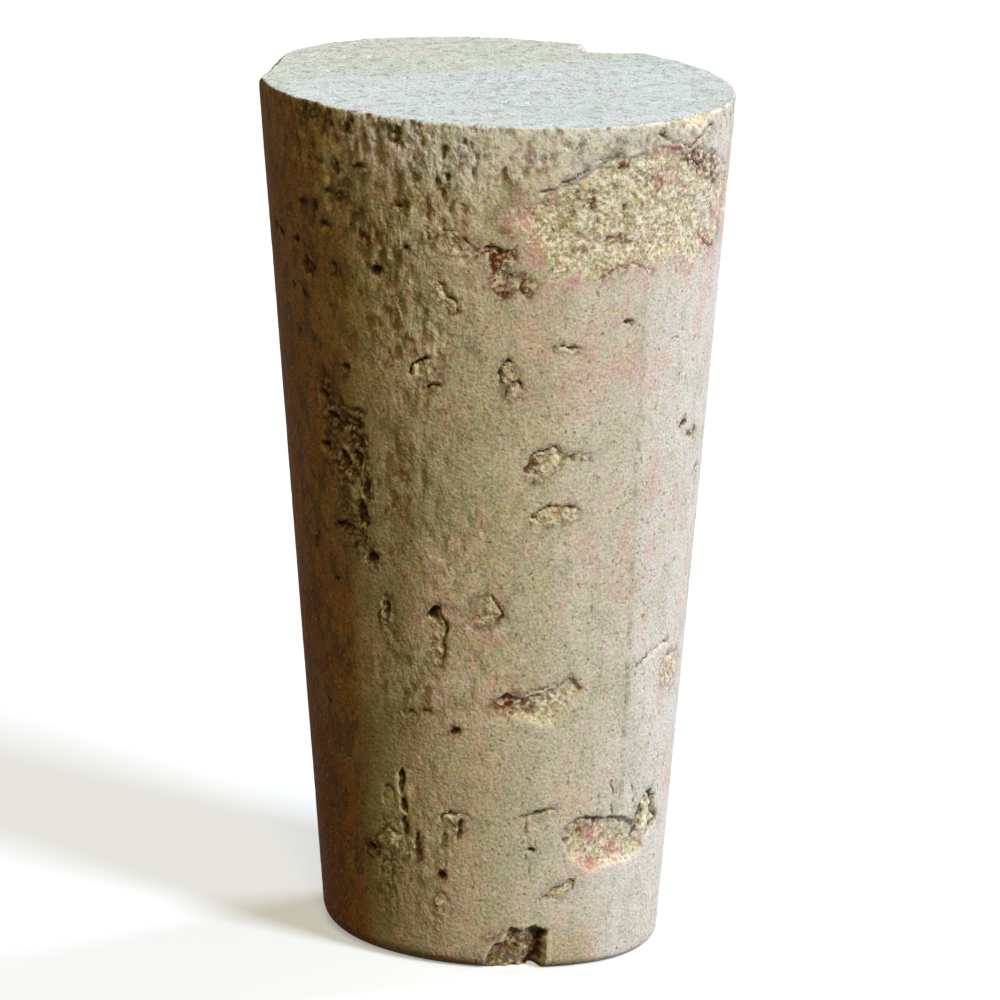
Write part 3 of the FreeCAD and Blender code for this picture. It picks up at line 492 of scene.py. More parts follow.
# Spots of lenticel dust: bearing, height, width, how tall, and how strong where it is less than 1.
STAINS: Dict[Dust, Tuple[Tuple[float, ...], ...]] = {
    Dust.RUST: (
        (0.3, 32.5, 2.0, 0.9, 1.0), (-2.8, 32.4, 0.9, 0.8, 1.0), (1.4, 31.6, 1.1, 1.9, 1.0),
        (2.2, 30.8, 1.3, 0.7, 1.0), (4.4, 32.3, 0.9, 1.0, 0.9), (5.6, 31.4, 1.1, 0.6, 0.8),
        (7.6, 31.2, 0.9, 0.6, 0.8), (3.2, 33.4, 0.9, 0.6, 0.6), (13.0, 34.9, 0.5, 0.4, 0.8),
        (23.5, 34.6, 0.4, 0.9, 0.6), (31.0, 33.0, 0.9, 0.5, 0.6), (36.0, 31.5, 1.8, 0.2, 0.7),
        (25.0, 34.8, 0.6, 0.9, 0.9), (33.0, 36.2, 0.9, 0.6, 0.9), (44.2, 35.2, 0.6, 0.9, 0.6),
        (33.0, 33.0, 1.5, 0.6, 0.7), (22.0, 32.6, 1.1, 0.5, 0.6), (56.0, 36.3, 1.8, 0.7, 0.9),
        (63.0, 35.4, 1.4, 1.0, 0.8), (70.0, 34.9, 1.2, 0.8, 0.7), (53.0, 34.6, 0.6, 1.2, 0.5),
        (76.0, 32.4, 0.9, 1.0, 0.6), (37.0, 29.3, 0.7, 0.35), (-17.0, 26.2, 1.0, 0.5, 0.5),
        (-13.5, 27.0, 0.7, 0.9, 0.5), (3.5, 26.3, 0.9, 1.6, 0.4), (11.4, 22.8, 0.6, 1.2, 0.9),
        (22.0, 23.3, 1.6, 0.3, 0.6), (11.4, 20.6, 0.45, 0.4), (-46.0, 26.2, 1.6, 1.2, 0.5),
        (-30.0, 18.5, 0.5, 0.9, 0.8), (-30.3, 20.1, 0.4, 0.9, 0.7), (-27.0, 20.8, 0.6, 1.1, 0.8),
        (-25.2, 22.2, 0.9, 0.6, 0.8), (-14.8, 25.2, 1.2, 0.4, 0.6), (-61.0, 33.8, 1.6, 0.8, 0.5),
        (-22.8, 34.2, 1.0, 0.7, 0.9), (-38.0, 32.9, 0.5, 0.7, 0.8), (-34.2, 32.4, 0.8, 0.6, 0.8),
        (-24.0, 37.2, 0.7, 1.1, 0.8), (-18.5, 36.6, 0.7, 1.2, 0.7), (-11.5, 35.2, 0.9, 1.2, 0.7),
        (-8.0, 36.6, 0.6, 1.3, 0.7), (-14.5, 34.3, 0.8, 0.9, 0.6), (-14.3, 33.2, 0.7, 0.5, 0.7),
        (-12.3, 33.3, 0.4, 0.5, 0.7), (-10.6, 32.6, 0.5, 0.6, 0.6), (-8.4, 32.8, 0.5, 0.5, 0.6),
        (-6.6, 32.2, 0.5, 0.5, 0.6), (-14.4, 31.0, 0.5, 0.6, 0.8), (-12.2, 30.9, 0.4, 0.5, 0.8),
        (-11.4, 30.0, 0.4, 0.6, 0.8), (-36.0, 6.1, 0.9, 0.7, 0.7), (-31.5, 4.2, 0.8, 0.8, 0.7),
        (-15.2, 4.3, 0.6, 0.7, 1.0), (-16.3, 16.2, 0.8, 1.0), (-14.6, 14.2, 0.3, 1.2, 0.6),
        (5.0, 12.4, 1.5, 0.9), (9.5, 12.0, 1.6, 0.9, 0.8), (11.0, 11.0, 0.7, 0.4, 0.5),
        (-11.4, 10.8, 0.7, 0.7), (-10.0, 6.9, 0.8, 0.7, 0.5), (34.5, 6.7, 0.7, 0.4, 0.5),
        (60.0, 36.0, 1.3, 0.8, 0.9), (66.0, 35.9, 1.0, 0.5, 0.8), (53.0, 36.2, 0.8, 0.5, 0.8),
        (38.0, 36.9, 0.5, 0.5, 0.7), (28.0, 37.1, 0.5, 0.7, 0.6), (21.0, 37.0, 0.4, 0.8, 0.6),
        (15.0, 36.6, 0.5, 0.8, 0.6), (8.0, 36.8, 0.5, 0.9, 0.6), (30.5, 6.2, 0.5, 0.8, 0.7),
        (-15.6, 4.2, 0.6, 0.6), (-41.0, 4.9, 0.9, 0.7, 0.6), (6.0, 1.3, 1.9, 0.9, 0.8),
        (1.2, 0.7, 1.0, 0.8, 0.8), (13.0, 1.0, 1.8, 1.4, 0.7),
    ),
    Dust.MAROON: (
        (-39.5, 19.8, 0.9, 1.8, 1.0), (-46.4, 22.3, 1.0, 1.3, 0.9), (-39.4, 23.6, 1.3, 1.8, 1.0),
        (-36.3, 21.6, 0.6, 2.0, 0.9), (-49.8, 24.6, 0.8, 1.4, 0.9), (-47.0, 19.2, 1.4, 0.8, 0.9),
        (-37.0, 18.3, 1.2, 0.8, 0.9), (-41.8, 26.3, 0.7, 0.8, 0.8), (-44.0, 23.9, 2.6, 1.2, 0.8),
        (-51.0, 24.9, 0.6, 2.0, 0.9), (-43.0, 21.9, 1.2, 1.8, 0.8), (-40.8, 18.9, 0.7, 1.2, 0.9),
        (-36.0, 17.9, 1.0, 0.7, 0.9), (-31.5, 15.9, 0.6, 1.2, 0.7), (-54.6, 30.7, 1.1, 1.7, 0.9),
        (-54.8, 33.4, 1.0, 0.8, 0.9), (-51.2, 33.0, 0.7, 1.1, 0.8), (-44.2, 30.7, 1.0, 1.0, 0.7),
        (-37.8, 37.2, 0.8, 1.1, 0.9), (-41.5, 4.9, 1.2, 1.0, 1.0),
    ),
    Dust.BARK: (
        (1.2, 32.0, 1.3, 1.5, 0.5), (9.4, 30.8, 1.2, 0.6, 0.8), (59.0, 36.1, 2.2, 0.8, 0.8),
        (51.0, 36.5, 1.6, 0.7, 0.6), (68.0, 35.4, 1.6, 0.9, 0.8), (-49.5, 24.6, 1.6, 2.6, 0.9),
        (-46.0, 22.4, 1.8, 2.0, 1.0), (-41.0, 24.2, 1.4, 1.4, 0.7), (-40.0, 21.4, 1.2, 2.6, 1.0),
        (-45.0, 19.4, 2.2, 1.0, 0.8), (-38.0, 18.6, 1.2, 1.8, 0.9), (-58.3, 18.3, 0.5, 1.6, 0.9),
        (-40.4, 34.6, 1.2, 2.2, 0.9), (-35.2, 35.5, 1.4, 0.8, 0.9), (-42.0, 35.3, 0.8, 1.0, 0.9),
        (-68.0, 31.8, 1.4, 1.0, 0.7), (-21.8, 32.3, 1.1, 0.8, 0.9), (-53.5, 37.6, 1.1, 0.7, 1.0),
        (-48.8, 37.5, 1.1, 0.8, 1.0), (-44.0, 37.3, 0.5, 1.2, 0.8), (-32.0, 5.0, 1.6, 0.8, 0.5),
        (-23.5, 5.3, 0.5, 1.5, 0.8), (-10.0, 6.6, 1.0, 1.0, 0.7),
    ),
    Dust.MOSS: (
        (8.5, 31.0, 1.9, 1.2, 0.7), (-3.0, 37.0, 1.2, 1.4, 0.7), (0.5, 35.9, 1.0, 1.3, 0.7),
        (3.2, 34.8, 0.8, 1.2, 0.6), (-14.0, 36.4, 3.0, 2.2, 0.5), (-24.0, 35.0, 2.6, 3.6, 0.45),
        (-36.0, 35.4, 1.6, 3.0, 0.45), (-10.0, 32.8, 2.4, 1.2, 0.7), (18.5, 34.1, 0.7, 1.1, 0.9),
        (16.5, 34.7, 0.8, 0.5, 0.7), (29.5, 36.1, 0.7, 0.4, 0.6), (-44.0, 25.2, 1.4, 1.0, 0.6),
        (-48.0, 23.2, 0.8, 1.2, 0.9), (-42.8, 21.6, 0.7, 1.6, 0.9), (-33.5, 22.0, 1.6, 7.0, 0.35),
        (-27.0, 24.0, 2.4, 3.0, 0.30), (-33.0, 6.8, 2.0, 2.6, 0.7), (-35.0, 5.0, 3.2, 1.6, 0.8),
        (-35.8, 2.9, 1.6, 3.4, 0.8), (-20.0, 3.2, 3.0, 2.4, 0.4), (-24.0, 5.6, 1.4, 1.8, 0.5),
        (-14.0, 7.0, 1.0, 1.8, 0.6), (-17.0, 4.4, 0.9, 2.4, 0.5), (-22.0, 11.6, 2.2, 0.7, 0.6),
        (-31.0, 15.4, 0.9, 2.4, 0.6), (-17.0, 14.6, 0.9, 2.6, 0.5), (1.0, 16.9, 1.4, 0.4, 0.4),
        (16.5, 7.1, 1.2, 0.7, 0.6), (45.0, 6.2, 1.0, 1.2, 0.5), (40.0, 6.85, 2.4, 0.4, 0.6),
        (13.0, 12.3, 1.3, 0.6, 0.6),
    ),
    Dust.ROSE: (
        (5.2, 34.1, 1.2, 0.5, 0.8), (8.0, 33.9, 1.0, 1.0, 0.7), (12.6, 34.9, 0.8, 0.7, 0.9),
        (11.0, 32.6, 0.6, 1.6, 0.8), (17.5, 31.0, 1.6, 0.6, 1.0), (44.2, 35.4, 0.9, 1.4, 0.8),
        (77.0, 33.7, 0.8, 1.5, 0.9), (47.0, 36.6, 2.0, 0.7, 0.8), (47.0, 35.6, 1.4, 0.9, 0.5),
        (71.0, 33.4, 0.9, 1.6, 0.9), (62.0, 32.2, 0.8, 0.3, 0.8), (-4.5, 15.9, 0.6, 1.1, 0.5),
        (1.5, 15.2, 1.0, 0.5, 0.4), (34.0, 4.9, 1.5, 0.9, 1.0), (36.5, 6.1, 1.5, 1.0, 0.8),
        (20.0, 31.15, 1.2, 0.6, 1.0), (64.8, 32.3, 0.9, 0.4, 1.0), (46.0, 5.3, 1.2, 0.8, 0.7),
    ),
    Dust.PALE: (
        (-43.5, 22.9, 0.5, 0.6, 0.8), (-41.0, 20.9, 0.4, 0.9, 0.7), (-45.3, 35.1, 0.45, 3.0, 1.0),
        (-40.2, 35.05, 0.4, 0.4, 1.0), (-12.8, 32.5, 0.6, 0.4, 0.9), (-9.4, 32.3, 0.5, 0.4, 0.9),
        (-7.4, 32.0, 0.4, 0.4, 0.9), (-13.2, 30.5, 0.5, 0.5, 0.9), (-12.2, 30.0, 0.4, 0.4, 0.9),
        (-20.3, 27.2, 0.4, 1.2, 0.9), (-15.0, 28.0, 0.6, 1.4, 0.7), (-17.5, 27.0, 0.7, 0.5, 0.6),
        (16.2, 23.2, 0.6, 0.8, 0.8), (61.5, 6.4, 0.5, 1.7, 1.0), (-33.5, 7.2, 0.7, 1.0, 0.6),
        (-30.8, 5.8, 0.5, 0.9, 0.6), (-26.0, 7.4, 0.22, 3.2, 0.8), (-13.2, 5.4, 0.3, 1.8, 0.7),
        (-12.6, 7.1, 1.0, 0.5, 0.7),
    ),
}

NOTCH = Notch(NOTCH_OUTLINE)

# Pits of the side that faces away, set out by irrational strides so that they never line up.
BACK_PITS = 15
BACK_BEARINGS = (100.0, 262.0)
BACK_HEIGHTS = (3.5, 33.5)
BACK_BEARING_STRIDE = 0.618
BACK_TURN_STRIDE = 0.3660
BACK_RUST_STRIDE = 0.7321
BACK_PIT_SIZES = ((0.8, 0.6), (1.6, 1.0), (2.6, 1.2))
BACK_PIT_DEPTH = 0.38
BACK_PIT_TURN = 40.0

# Cells of the noises that roughen all torn cork, and of the two that bend its outlines, and their bends.
COARSE_CELL = 0.75
MIDDLING_CELL = 0.36
FINE_CELL = 0.19
BEND_CELLS = (0.6, 0.26)
BENDS = (0.17, 0.09)

# Torn grain, by bearing: how torn the skin is, how far below the rim it is worst, and how bad it is there.
GRAIN_BEARINGS = (-180, -120, -70, -50, -38, -24, -10, 4, 25, 45, 60, 90, 130, 180)
GRAIN_TORN = (0.35, 0.30, 0.12, 0.20, 0.50, 0.70, 0.50, 0.26, 0.18, 0.10, 0.10, 0.12, 0.25, 0.35)
GRAIN_REACHES = (0.8, 0.8, 3.0, 6.0, 7.5, 7.0, 6.0, 4.5, 3.4, 2.8, 2.4, 1.5, 0.8, 0.8)
GRAIN_AT_RIM = (0.5, 0.5, 0.5, 0.8, 0.9, 0.9, 0.9, 0.85, 0.8, 0.75, 0.6, 0.5, 0.5, 0.5)
# Its cells, taller than wide, and its depths in all, near the rim, in the lumpy place and in wider hollows.
GRAIN_CELL = (0.32, 0.32, 0.60)
GRAIN_FINE_CELL = (0.18, 0.18, 0.30)
GRAIN_HOLLOW_CELL = (0.8, 0.8, 1.2)
GRAIN_PATCH_CELL = (2.2, 2.2, 3.2)
GRAIN_DEPTH = 0.09
GRAIN_RIM_DEPTH = 0.09
GRAIN_LUMP_DEPTH = 0.04
GRAIN_HOLLOW_DEPTH = 0.04

# The upright arris where two passes of the grinding meet: its ends' heights and bearings, and its groove.
FACET_HEIGHTS = (7.0, 31.0)
FACET_BEARINGS = (46.0, 41.0)
FACET_DEPTH = 0.08
FACET_WIDTH = 0.09
FACET_DUST_WIDTH = 0.20

# Growth bands on the head: the bearing they run along, how far and over what length they bend, and their
# spacing where they are sawn, aged and pale. Towards the back the head grows rougher and more aged.
GROWTH_DEGREES = 34.0
GROWTH_BEND = 0.8
GROWTH_BEND_CELL = 5.0
SAWN_BAND = 2.3
SAWN_BAND_DEPTH = 0.02
AGED_BAND = 1.7
PALE_RING = 1.3
HEAD_ROUGH_PAST = (3.2, 5.0)
HEAD_AGED_PAST = (1.0, 5.6)
HEAD_GRAIN_CELL = 0.5
HEAD_PORE_CELL = 0.32

# A chip's ends run out past the rim by a share of its size, and its face is torn in fine and coarse grains.
CHIP_RUNOUT = 0.12
CHIP_FINE_CELL = 0.3
CHIP_FINE_DEPTH = 0.05
CHIP_COARSE_CELL = 0.8
CHIP_COARSE_DEPTH = 0.07

# Bleaching and painted light: 0 is brown skin and 1 nearly white, by bearing, and what single zones add.
# The rise from brown on the shaded left to nearly white on the lit right is partly the skin's own tone and
# partly painted light and shade.
BLEACH_AND_PAINTED_LIGHT_BEARINGS = (-180, -130, -100, -75, -60, -45, -37, -30, -15, 0, 15, 24, 32, 45, 60, 75, 90, 130, 180)
BLEACH_AND_PAINTED_LIGHT_SHARES = (
    0.45, 0.35, 0.15, -0.1, -0.03, 0.14, 0.29, 0.31, 0.44, 0.54, 0.65, 0.80, 0.80, 0.83, 0.88, 0.92, 0.95,
    0.8, 0.45,
)
# Zones: paler just below the rim at the front and left, a faint change mid-front, darker towards the foot in
# front.
TONES = (
    Tone((-46, -32, -8, 3, 30, 60, 80), (0.0, 0.80, 0.90, 0.20, 0.22, 0.25, 0.0), 3.4, 0.9, from_rim=True),
    Tone((-4, 6, 16, 24, 32, 42, 55, 65), (0.0, 0.05, 0.07, -0.06, -0.03, 0.07, 0.07, 0.0), 16.0, 10.0),
    Tone((-15, 2, 12, 34, 45), (0.0, -0.20, -0.35, -0.26, 0.0), 2.6, 0.4),
)
# Painted light: a paler zone on the left, which moves the edge of the shade.
PAINTED_LEFT_LIGHT_BEARINGS = (-46, -39, -31, -26)
PAINTED_LEFT_LIGHT_HEIGHTS = (6.5, 9.0, 16.0, 18.5, 24.0, 28.0)
PAINTED_LEFT_LIGHT_SHARES = (0.24, 0.14, 0.14, 0.24, 0.24, 0.0)


def from_below_rim(places: Iterable[Place], length: float) -> Tuple[Place, ...]:
    """Places given by how far below the head face they lie, as places given by height."""
    return tuple((bearing, length - below) for bearing, below in places)


def stride(order: int, step: float) -> float:
    """Share between 0 and 1 that an irrational step reaches, so that an order's places never line up."""
    return (order * step) % 1.0


def back_pits() -> List[Pit]:
    """Plain lenticels of the side that faces away, each a stride further round and a step higher.

    Returns:
        The pits, from the lowest up.
    """
    first, last = BACK_BEARINGS
    low, high = BACK_HEIGHTS
    pits = []
    for order in range(BACK_PITS):
        bearing = first + (last - first) * stride(order, BACK_BEARING_STRIDE)
        height = low + (high - low) * (order + 0.5) / BACK_PITS
        width, tall = BACK_PIT_SIZES[order % len(BACK_PIT_SIZES)]
        turn = BACK_PIT_TURN * (stride(order, BACK_TURN_STRIDE) - 0.5)
        rust = 0.2 + 0.5 * stride(order, BACK_RUST_STRIDE)
        pits.append(Pit(bearing, height, width, tall, BACK_PIT_DEPTH, turn, rust=rust))
    return pits


class SideRelief:
    """What is torn out of the side, on a grid of rows up it and columns round it.

    sink is the depth under the ground surface, and edge the distance to the nearest torn outline, negative
    inside. The rest are shares from 0 to 1: dust of each colour, how rough the grain is, how crumbled each
    place is, how much painted shade its splits and hollows get, and how far it stands out as a crest, which
    gets a painted highlight, or lies in a gouge, which gets dirt and painted shade.
    """

    FAR = 9.0

    def __init__(self, blank: Blank, bearings: np.ndarray, heights: np.ndarray, points: np.ndarray) -> None:
        """Starts from the plain ground side.

        Args:
            blank: The ground blank.
            bearings: Bearings of the columns, in degrees.
            heights: Heights of the rows, in millimetres.
            points: The grid's places on the blank, (rows, columns, 3), in millimetres.
        """
        self.blank = blank
        self.bearings = bearings
        self.heights = heights
        self.radii = blank.radius(heights)
        shape = (len(heights), len(bearings))
        self.sink = np.zeros(shape)
        self.edge = np.full(shape, self.FAR)
        self.dust = {kind: np.zeros(shape) for kind in Dust}
        self.rough = np.zeros(shape)
        self.crumb = np.zeros(shape)
        self.painted_crevice_shade = np.zeros(shape)
        self.crest_with_painted_highlight = np.zeros(shape)
        self.gouge_dirt_and_painted_shade = np.zeros(shape)
        self.coarse = lattice_noise(points, COARSE_CELL, 11)
        self.middling = lattice_noise(points, MIDDLING_CELL, 12)
        self.fine = lattice_noise(points, FINE_CELL, 13)
        self.warp_girth, self.warp_rise = (
            BENDS[0] * lattice_noise(points, BEND_CELLS[0], seed)
            + BENDS[1] * lattice_noise(points, BEND_CELLS[1], seed + 1)
            for seed in (21, 23)
        )

    def window(self, middle: Place, across: float, along: float) -> Window:
        """Rows and columns within a reach of a place.

        Args:
            middle: Bearing and height of the place.
            across: Reach round the side, in millimetres.
            along: Reach up and down it, in millimetres.

        Returns:
            An open mesh of indices.
        """
        bearing, height = middle
        rows = np.abs(self.heights - height) < along
        swing = math.degrees(across / self.blank.radius_at(height))
        return np.ix_(rows, np.abs(turned_from(bearing, self.bearings)) < swing)

    def spread(self, window: Window, middle: Place) -> Tuple[np.ndarray, np.ndarray]:
        """Distances round and up from a place, bent a little so that outlines come out ragged.

        Args:
            window: Rows and columns to measure.
            middle: Bearing and height of the place.

        Returns:
            The two distances over the window, in millimetres.
        """
        bearing, height = middle
        rows, columns = window[0][:, 0], window[1][0]
        gap = turned_from(bearing, self.bearings[columns])
        girth = np.radians(gap)[None, :] * self.radii[rows][:, None]
        rise = np.broadcast_to((self.heights[rows] - height)[:, None], girth.shape)
        return girth + self.warp_girth[window], rise + self.warp_rise[window]

    def deepen(self, window: Window, sink: np.ndarray, edge: np.ndarray) -> None:
        """Keeps the deeper of two depths and the nearer of two outlines."""
        self.sink[window] = np.maximum(self.sink[window], sink)
        self.edge[window] = np.minimum(self.edge[window], edge)

    def mark(self, layer: np.ndarray, window: Window, strength: np.ndarray) -> None:
        """Keeps the stronger of two marks."""
        layer[window] = np.maximum(layer[window], strength)

    def tear_pit(self, pit: Pit) -> None:
        """Opens a lenticel: radius 1 + 0.05 cos(3a + p) + 0.04 cos(4a + q) in its own stretched circle.

        Its wall falls steeply inside that outline. A plug of torn cork may stand in it, and the moat
        between the two is a crevice, deepest towards the lip, which gets painted shade, as does the open
        hollow.

        Args:
            pit: The pit.
        """
        middle = (pit.bearing, pit.height)
        size = min(pit.width, pit.tall)
        reach = 0.75 * max(pit.width, pit.tall) + 0.8
        window = self.window(middle, reach, reach)
        coarse, middling, fine = self.coarse[window], self.middling[window], self.fine[window]
        girth, rise = self.spread(window, middle)
        turn = math.radians(pit.turn)
        across = (girth * math.cos(turn) + rise * math.sin(turn)) / (pit.width / 2)
        along = (rise * math.cos(turn) - girth * math.sin(turn)) / (pit.tall / 2)
        angle = np.arctan2(along, across)
        outline = 1.0 + 0.05 * np.cos(3 * angle + math.radians(7.0 * pit.bearing))
        outline += 0.04 * np.cos(4 * angle + 2.3 * pit.height)
        share = np.maximum(np.hypot(across, along), 1e-6)
        edge = np.hypot(girth, rise) * (1.0 - outline / share)
        edge = edge + min(size, 1.2) * (0.09 * coarse + 0.06 * middling)
        toward_lip = smooth_step(-0.7, 0.9, np.cos(angle - math.radians(pit.lip) + 0.8 * coarse))
        slope = 0.28 * size * (1.0 - toward_lip)
        wall = smooth_step(0.03, -0.12 - slope, edge)
        plug = min(1.25 * pit.plug, 0.95) * smooth_step(-0.05, -0.15, edge)
        moat = 0.22 * toward_lip * bell(edge + 0.06, 0.05)
        floor = (0.70 + 0.25 * coarse) * (1.0 - plug) + 0.32 * (0.5 * middling + 0.5 * fine) + moat
        self.deepen(window, pit.depth * wall * np.maximum(floor, 0.0), edge)
        # Painted shade in the crevice, strongest towards the lip, and in the open hollow below.
        self.mark(self.painted_crevice_shade, window, pit.painted_shade_share * (0.06 + 0.94 * toward_lip) * bell(edge, 0.22))
        hollow = (1.0 - pit.plug) * smooth_step(0.02, -min(0.20, 0.30 * size), edge)
        self.mark(self.painted_crevice_shade, window, pit.painted_shade_share * hollow)
        # Bark-brown dust along the lip, as strong as the crevice's painted shade: partly dust, partly painted
        # shade.
        ring = max(2.0 * pit.painted_shade_share - 1.0, 0.0) * (0.12 + 0.88 * toward_lip) * bell(edge + 0.05, 0.11)
        self.mark(self.dust[Dust.BARK], window, ring * smooth_step(-0.6, 0.1, middling))
        self.mark(self.dust[Dust.RUST], window, 0.7 * pit.rust * smooth_step(0.12, -0.05, edge))
        self.mark(self.dust[Dust.MOSS], window, 0.35 * bell(edge + 0.05, 0.25))
        self.mark(self.crumb, window, smooth_step(0.03, -0.10 - 0.3 * size * (1.0 - toward_lip), edge))

    def stain(
        self, dust: Dust, bearing: float, height: float, width: float, tall: float, strength: float = 1.0,
    ) -> None:
        """Lays dust over a spot, thinning out towards its ragged rim.

        Args:
            dust: Colour of the dust.
            bearing: Bearing of its middle, in degrees.
            height: Height of its middle, in millimetres.
            width: Its width, in millimetres.
            tall: Its height, in millimetres.
            strength: How much of it there is, from 0 to 1.
        """
        reach = 0.75 * max(width, tall) + 0.6
        window = self.window((bearing, height), reach, reach)
        girth, rise = self.spread(window, (bearing, height))
        share = np.hypot(girth / (width / 2), rise / (tall / 2)) + 0.35 * self.middling[window]
        self.mark(self.dust[dust], window, strength * smooth_step(1.25, 0.55, share))

    def outline_distance(self, window: Window, outline: Sequence[Place], middle: Place) -> np.ndarray:
        """Signed distance to a closed outline: to the nearest of its sides, negative inside.

        Args:
            window: Rows and columns to measure.
            outline: Bearings and heights of its corners, in order round it.
            middle: The place that it is unrolled about.

        Returns:
            Distances over the window, in millimetres.
        """
        girth, rise = self.spread(window, middle)
        radius = self.blank.radius_at(middle[1])
        corners = [
            (math.radians(bearing - middle[0]) * radius, height - middle[1]) for bearing, height in outline
        ]
        nearest = np.full(girth.shape, self.FAR)
        inside = np.zeros(girth.shape, bool)
        for (start_x, start_y), (end_x, end_y) in zip(corners, corners[1:] + corners[:1]):
            run, climb = end_x - start_x, end_y - start_y
            share = ((girth - start_x) * run + (rise - start_y) * climb) / (run * run + climb * climb)
            share = np.clip(share, 0.0, 1.0)
            away = np.hypot(girth - start_x - share * run, rise - start_y - share * climb)
            nearest = np.minimum(nearest, away)
            if climb != 0.0:
                crosses = (rise < start_y) != (rise < end_y)
                inside ^= crosses & (girth < start_x + run * (rise - start_y) / climb)
        return np.where(inside, -nearest, nearest)

    def tear(self, tear: Tear) -> None:
        """Lifts a flake off: a ragged edge round a floor of grains with splits between them.

        Args:
            tear: The tear.
        """
        middle = tear.middle
        gaps = [math.radians(abs(bearing - middle[0])) for bearing, _ in tear.outline]
        across = max(gaps) * self.blank.head_radius + 0.8
        along = max(abs(height - middle[1]) for _, height in tear.outline) + 0.8
        window = self.window(middle, across, along)
        coarse, middling, fine = self.coarse[window], self.middling[window], self.fine[window]
        edge = self.outline_distance(window, tear.outline, middle)
        rise = np.broadcast_to(self.heights[window[0]] - middle[1], edge.shape)
        above = smooth_step(-0.25 * along, 0.3 * along, rise)
        wall = smooth_step(0.05, -(tear.soft + (0.16 - tear.soft) * above), edge)
        grains = 0.55 * middling + 0.55 * fine + 0.35 * coarse
        splits = smooth_step(0.12, 0.0, np.abs(middling + 0.5 * fine))
        start, end, least = tear.fade
        fade = np.clip((end - self.bearings[window[1]]) / (end - start), least, 1.0)
        floor = tear.depth * fade + tear.rough * (grains + 0.7 * splits)
        self.deepen(window, np.maximum(wall * floor, 0.0), edge + 0.3 * (above < 0.5))
        ragged = 0.25 * coarse + 0.15 * middling
        self.mark(self.crumb, window, smooth_step(ragged, ragged - 0.35, edge) * (0.45 + 0.55 * fade))
        # Painted shade along the crisp upper lip and in the splits of the floor.
        lip = 0.45 * above * smooth_step(-0.2, 0.5, coarse) * bell(edge + 0.03, 0.10)
        self.mark(self.painted_crevice_shade, window, tear.painted_shade_share * (lip + wall * splits))
        rosy = (1.0 - above) * bell(edge, 0.3) * smooth_step(-0.3, 0.4, coarse)
        self.mark(self.dust[Dust.ROSE], window, tear.rose * rosy)
        self.mark(self.dust[Dust.BARK], window, tear.bark * smooth_step(0.1, -0.25, edge + ragged))

    def split(self, crack: Crack) -> None:
        """Opens a V-shaped crack along its route: its depth falls evenly to nothing one width to either side.

        Args:
            crack: The crack.
        """
        for (start_bearing, start_height), (end_bearing, end_height) in zip(crack.route, crack.route[1:]):
            middle = ((start_bearing + end_bearing) / 2, (start_height + end_height) / 2)
            run = math.radians(end_bearing - start_bearing) * self.blank.radius_at(middle[1])
            climb = end_height - start_height
            length = math.hypot(run, climb)
            window = self.window(middle, length / 2 + 0.6, length / 2 + 0.6)
            girth, rise = self.spread(window, middle)
            share = np.clip((girth * run + rise * climb) / length ** 2, -0.5, 0.5)
            reach = np.hypot(girth - share * run, rise - share * climb)
            self.deepen(window, crack.depth * np.clip(1.0 - reach / crack.width, 0.0, 1.0), reach - 0.04)
            # Painted shade along the crack.
            self.mark(self.painted_crevice_shade, window, 0.9 * bell(reach, 1.5 * crack.width))
            self.mark(self.dust[Dust.RUST], window, 0.6 * crack.rust * bell(reach, 0.2))

    def tear_grain(self, points: np.ndarray) -> None:
        """Roughs up the torn zones: tall thin cells of noise, cut where they pass a threshold.

        How rough it is comes from the bearing, and from the height below the rim, where the teeth tore the
        cork before they bit. Low down it calms, apart from a lumpy place at the left.

        Args:
            points: The grid's places on the blank.
        """
        torn, reach, at_rim = (
            np.interp(self.bearings, GRAIN_BEARINGS, values)[None, :]
            for values in (GRAIN_TORN, GRAIN_REACHES, GRAIN_AT_RIM)
        )
        rim = smooth_step(1.0, 0.25, (self.blank.length - self.heights[:, None]) / reach) * at_rim
        lumpy = smooth_step(-44.0, -34.0, self.bearings) * smooth_step(-8.0, -16.0, self.bearings)
        lumpy = 0.10 * lumpy[None, :] * smooth_step(11.0, 7.5, self.heights)[:, None]
        calm = 1.0 - 0.55 * smooth_step(13.0, 9.0, self.heights)[:, None]
        patchy = 0.75 + 0.55 * lattice_noise(points, GRAIN_PATCH_CELL, 33)
        self.rough = np.clip((np.clip(torn + rim, 0.0, 1.0) * calm + lumpy) * patchy, 0.0, 1.0)
        hollows = lattice_noise(points, GRAIN_HOLLOW_CELL, 34)
        cells = lattice_noise(points, GRAIN_CELL, 31)
        cells = cells + 0.6 * lattice_noise(points, GRAIN_FINE_CELL, 32) + 0.35 * hollows
        cut = smooth_step(0.0, 0.9, cells) * self.rough
        depth = (GRAIN_DEPTH + GRAIN_RIM_DEPTH * rim + GRAIN_LUMP_DEPTH * lumpy) * cut
        depth = depth + GRAIN_HOLLOW_DEPTH * self.rough * smooth_step(-0.2, 0.6, hollows)
        self.sink = np.maximum(self.sink, depth)
        # Painted shade in the cut cells.
        self.painted_crevice_shade = np.maximum(self.painted_crevice_shade, (0.8 - lumpy) * smooth_step(0.30, 0.9, cut))
        # Raised cells, which the finish gives a painted highlight.
        self.crest_with_painted_highlight = self.rough * smooth_step(-0.05, -0.7, cells)
        # Cut cells, which the finish gives dirt and painted shade.
        self.gouge_dirt_and_painted_shade = self.rough * smooth_step(0.05, 0.8, cells)

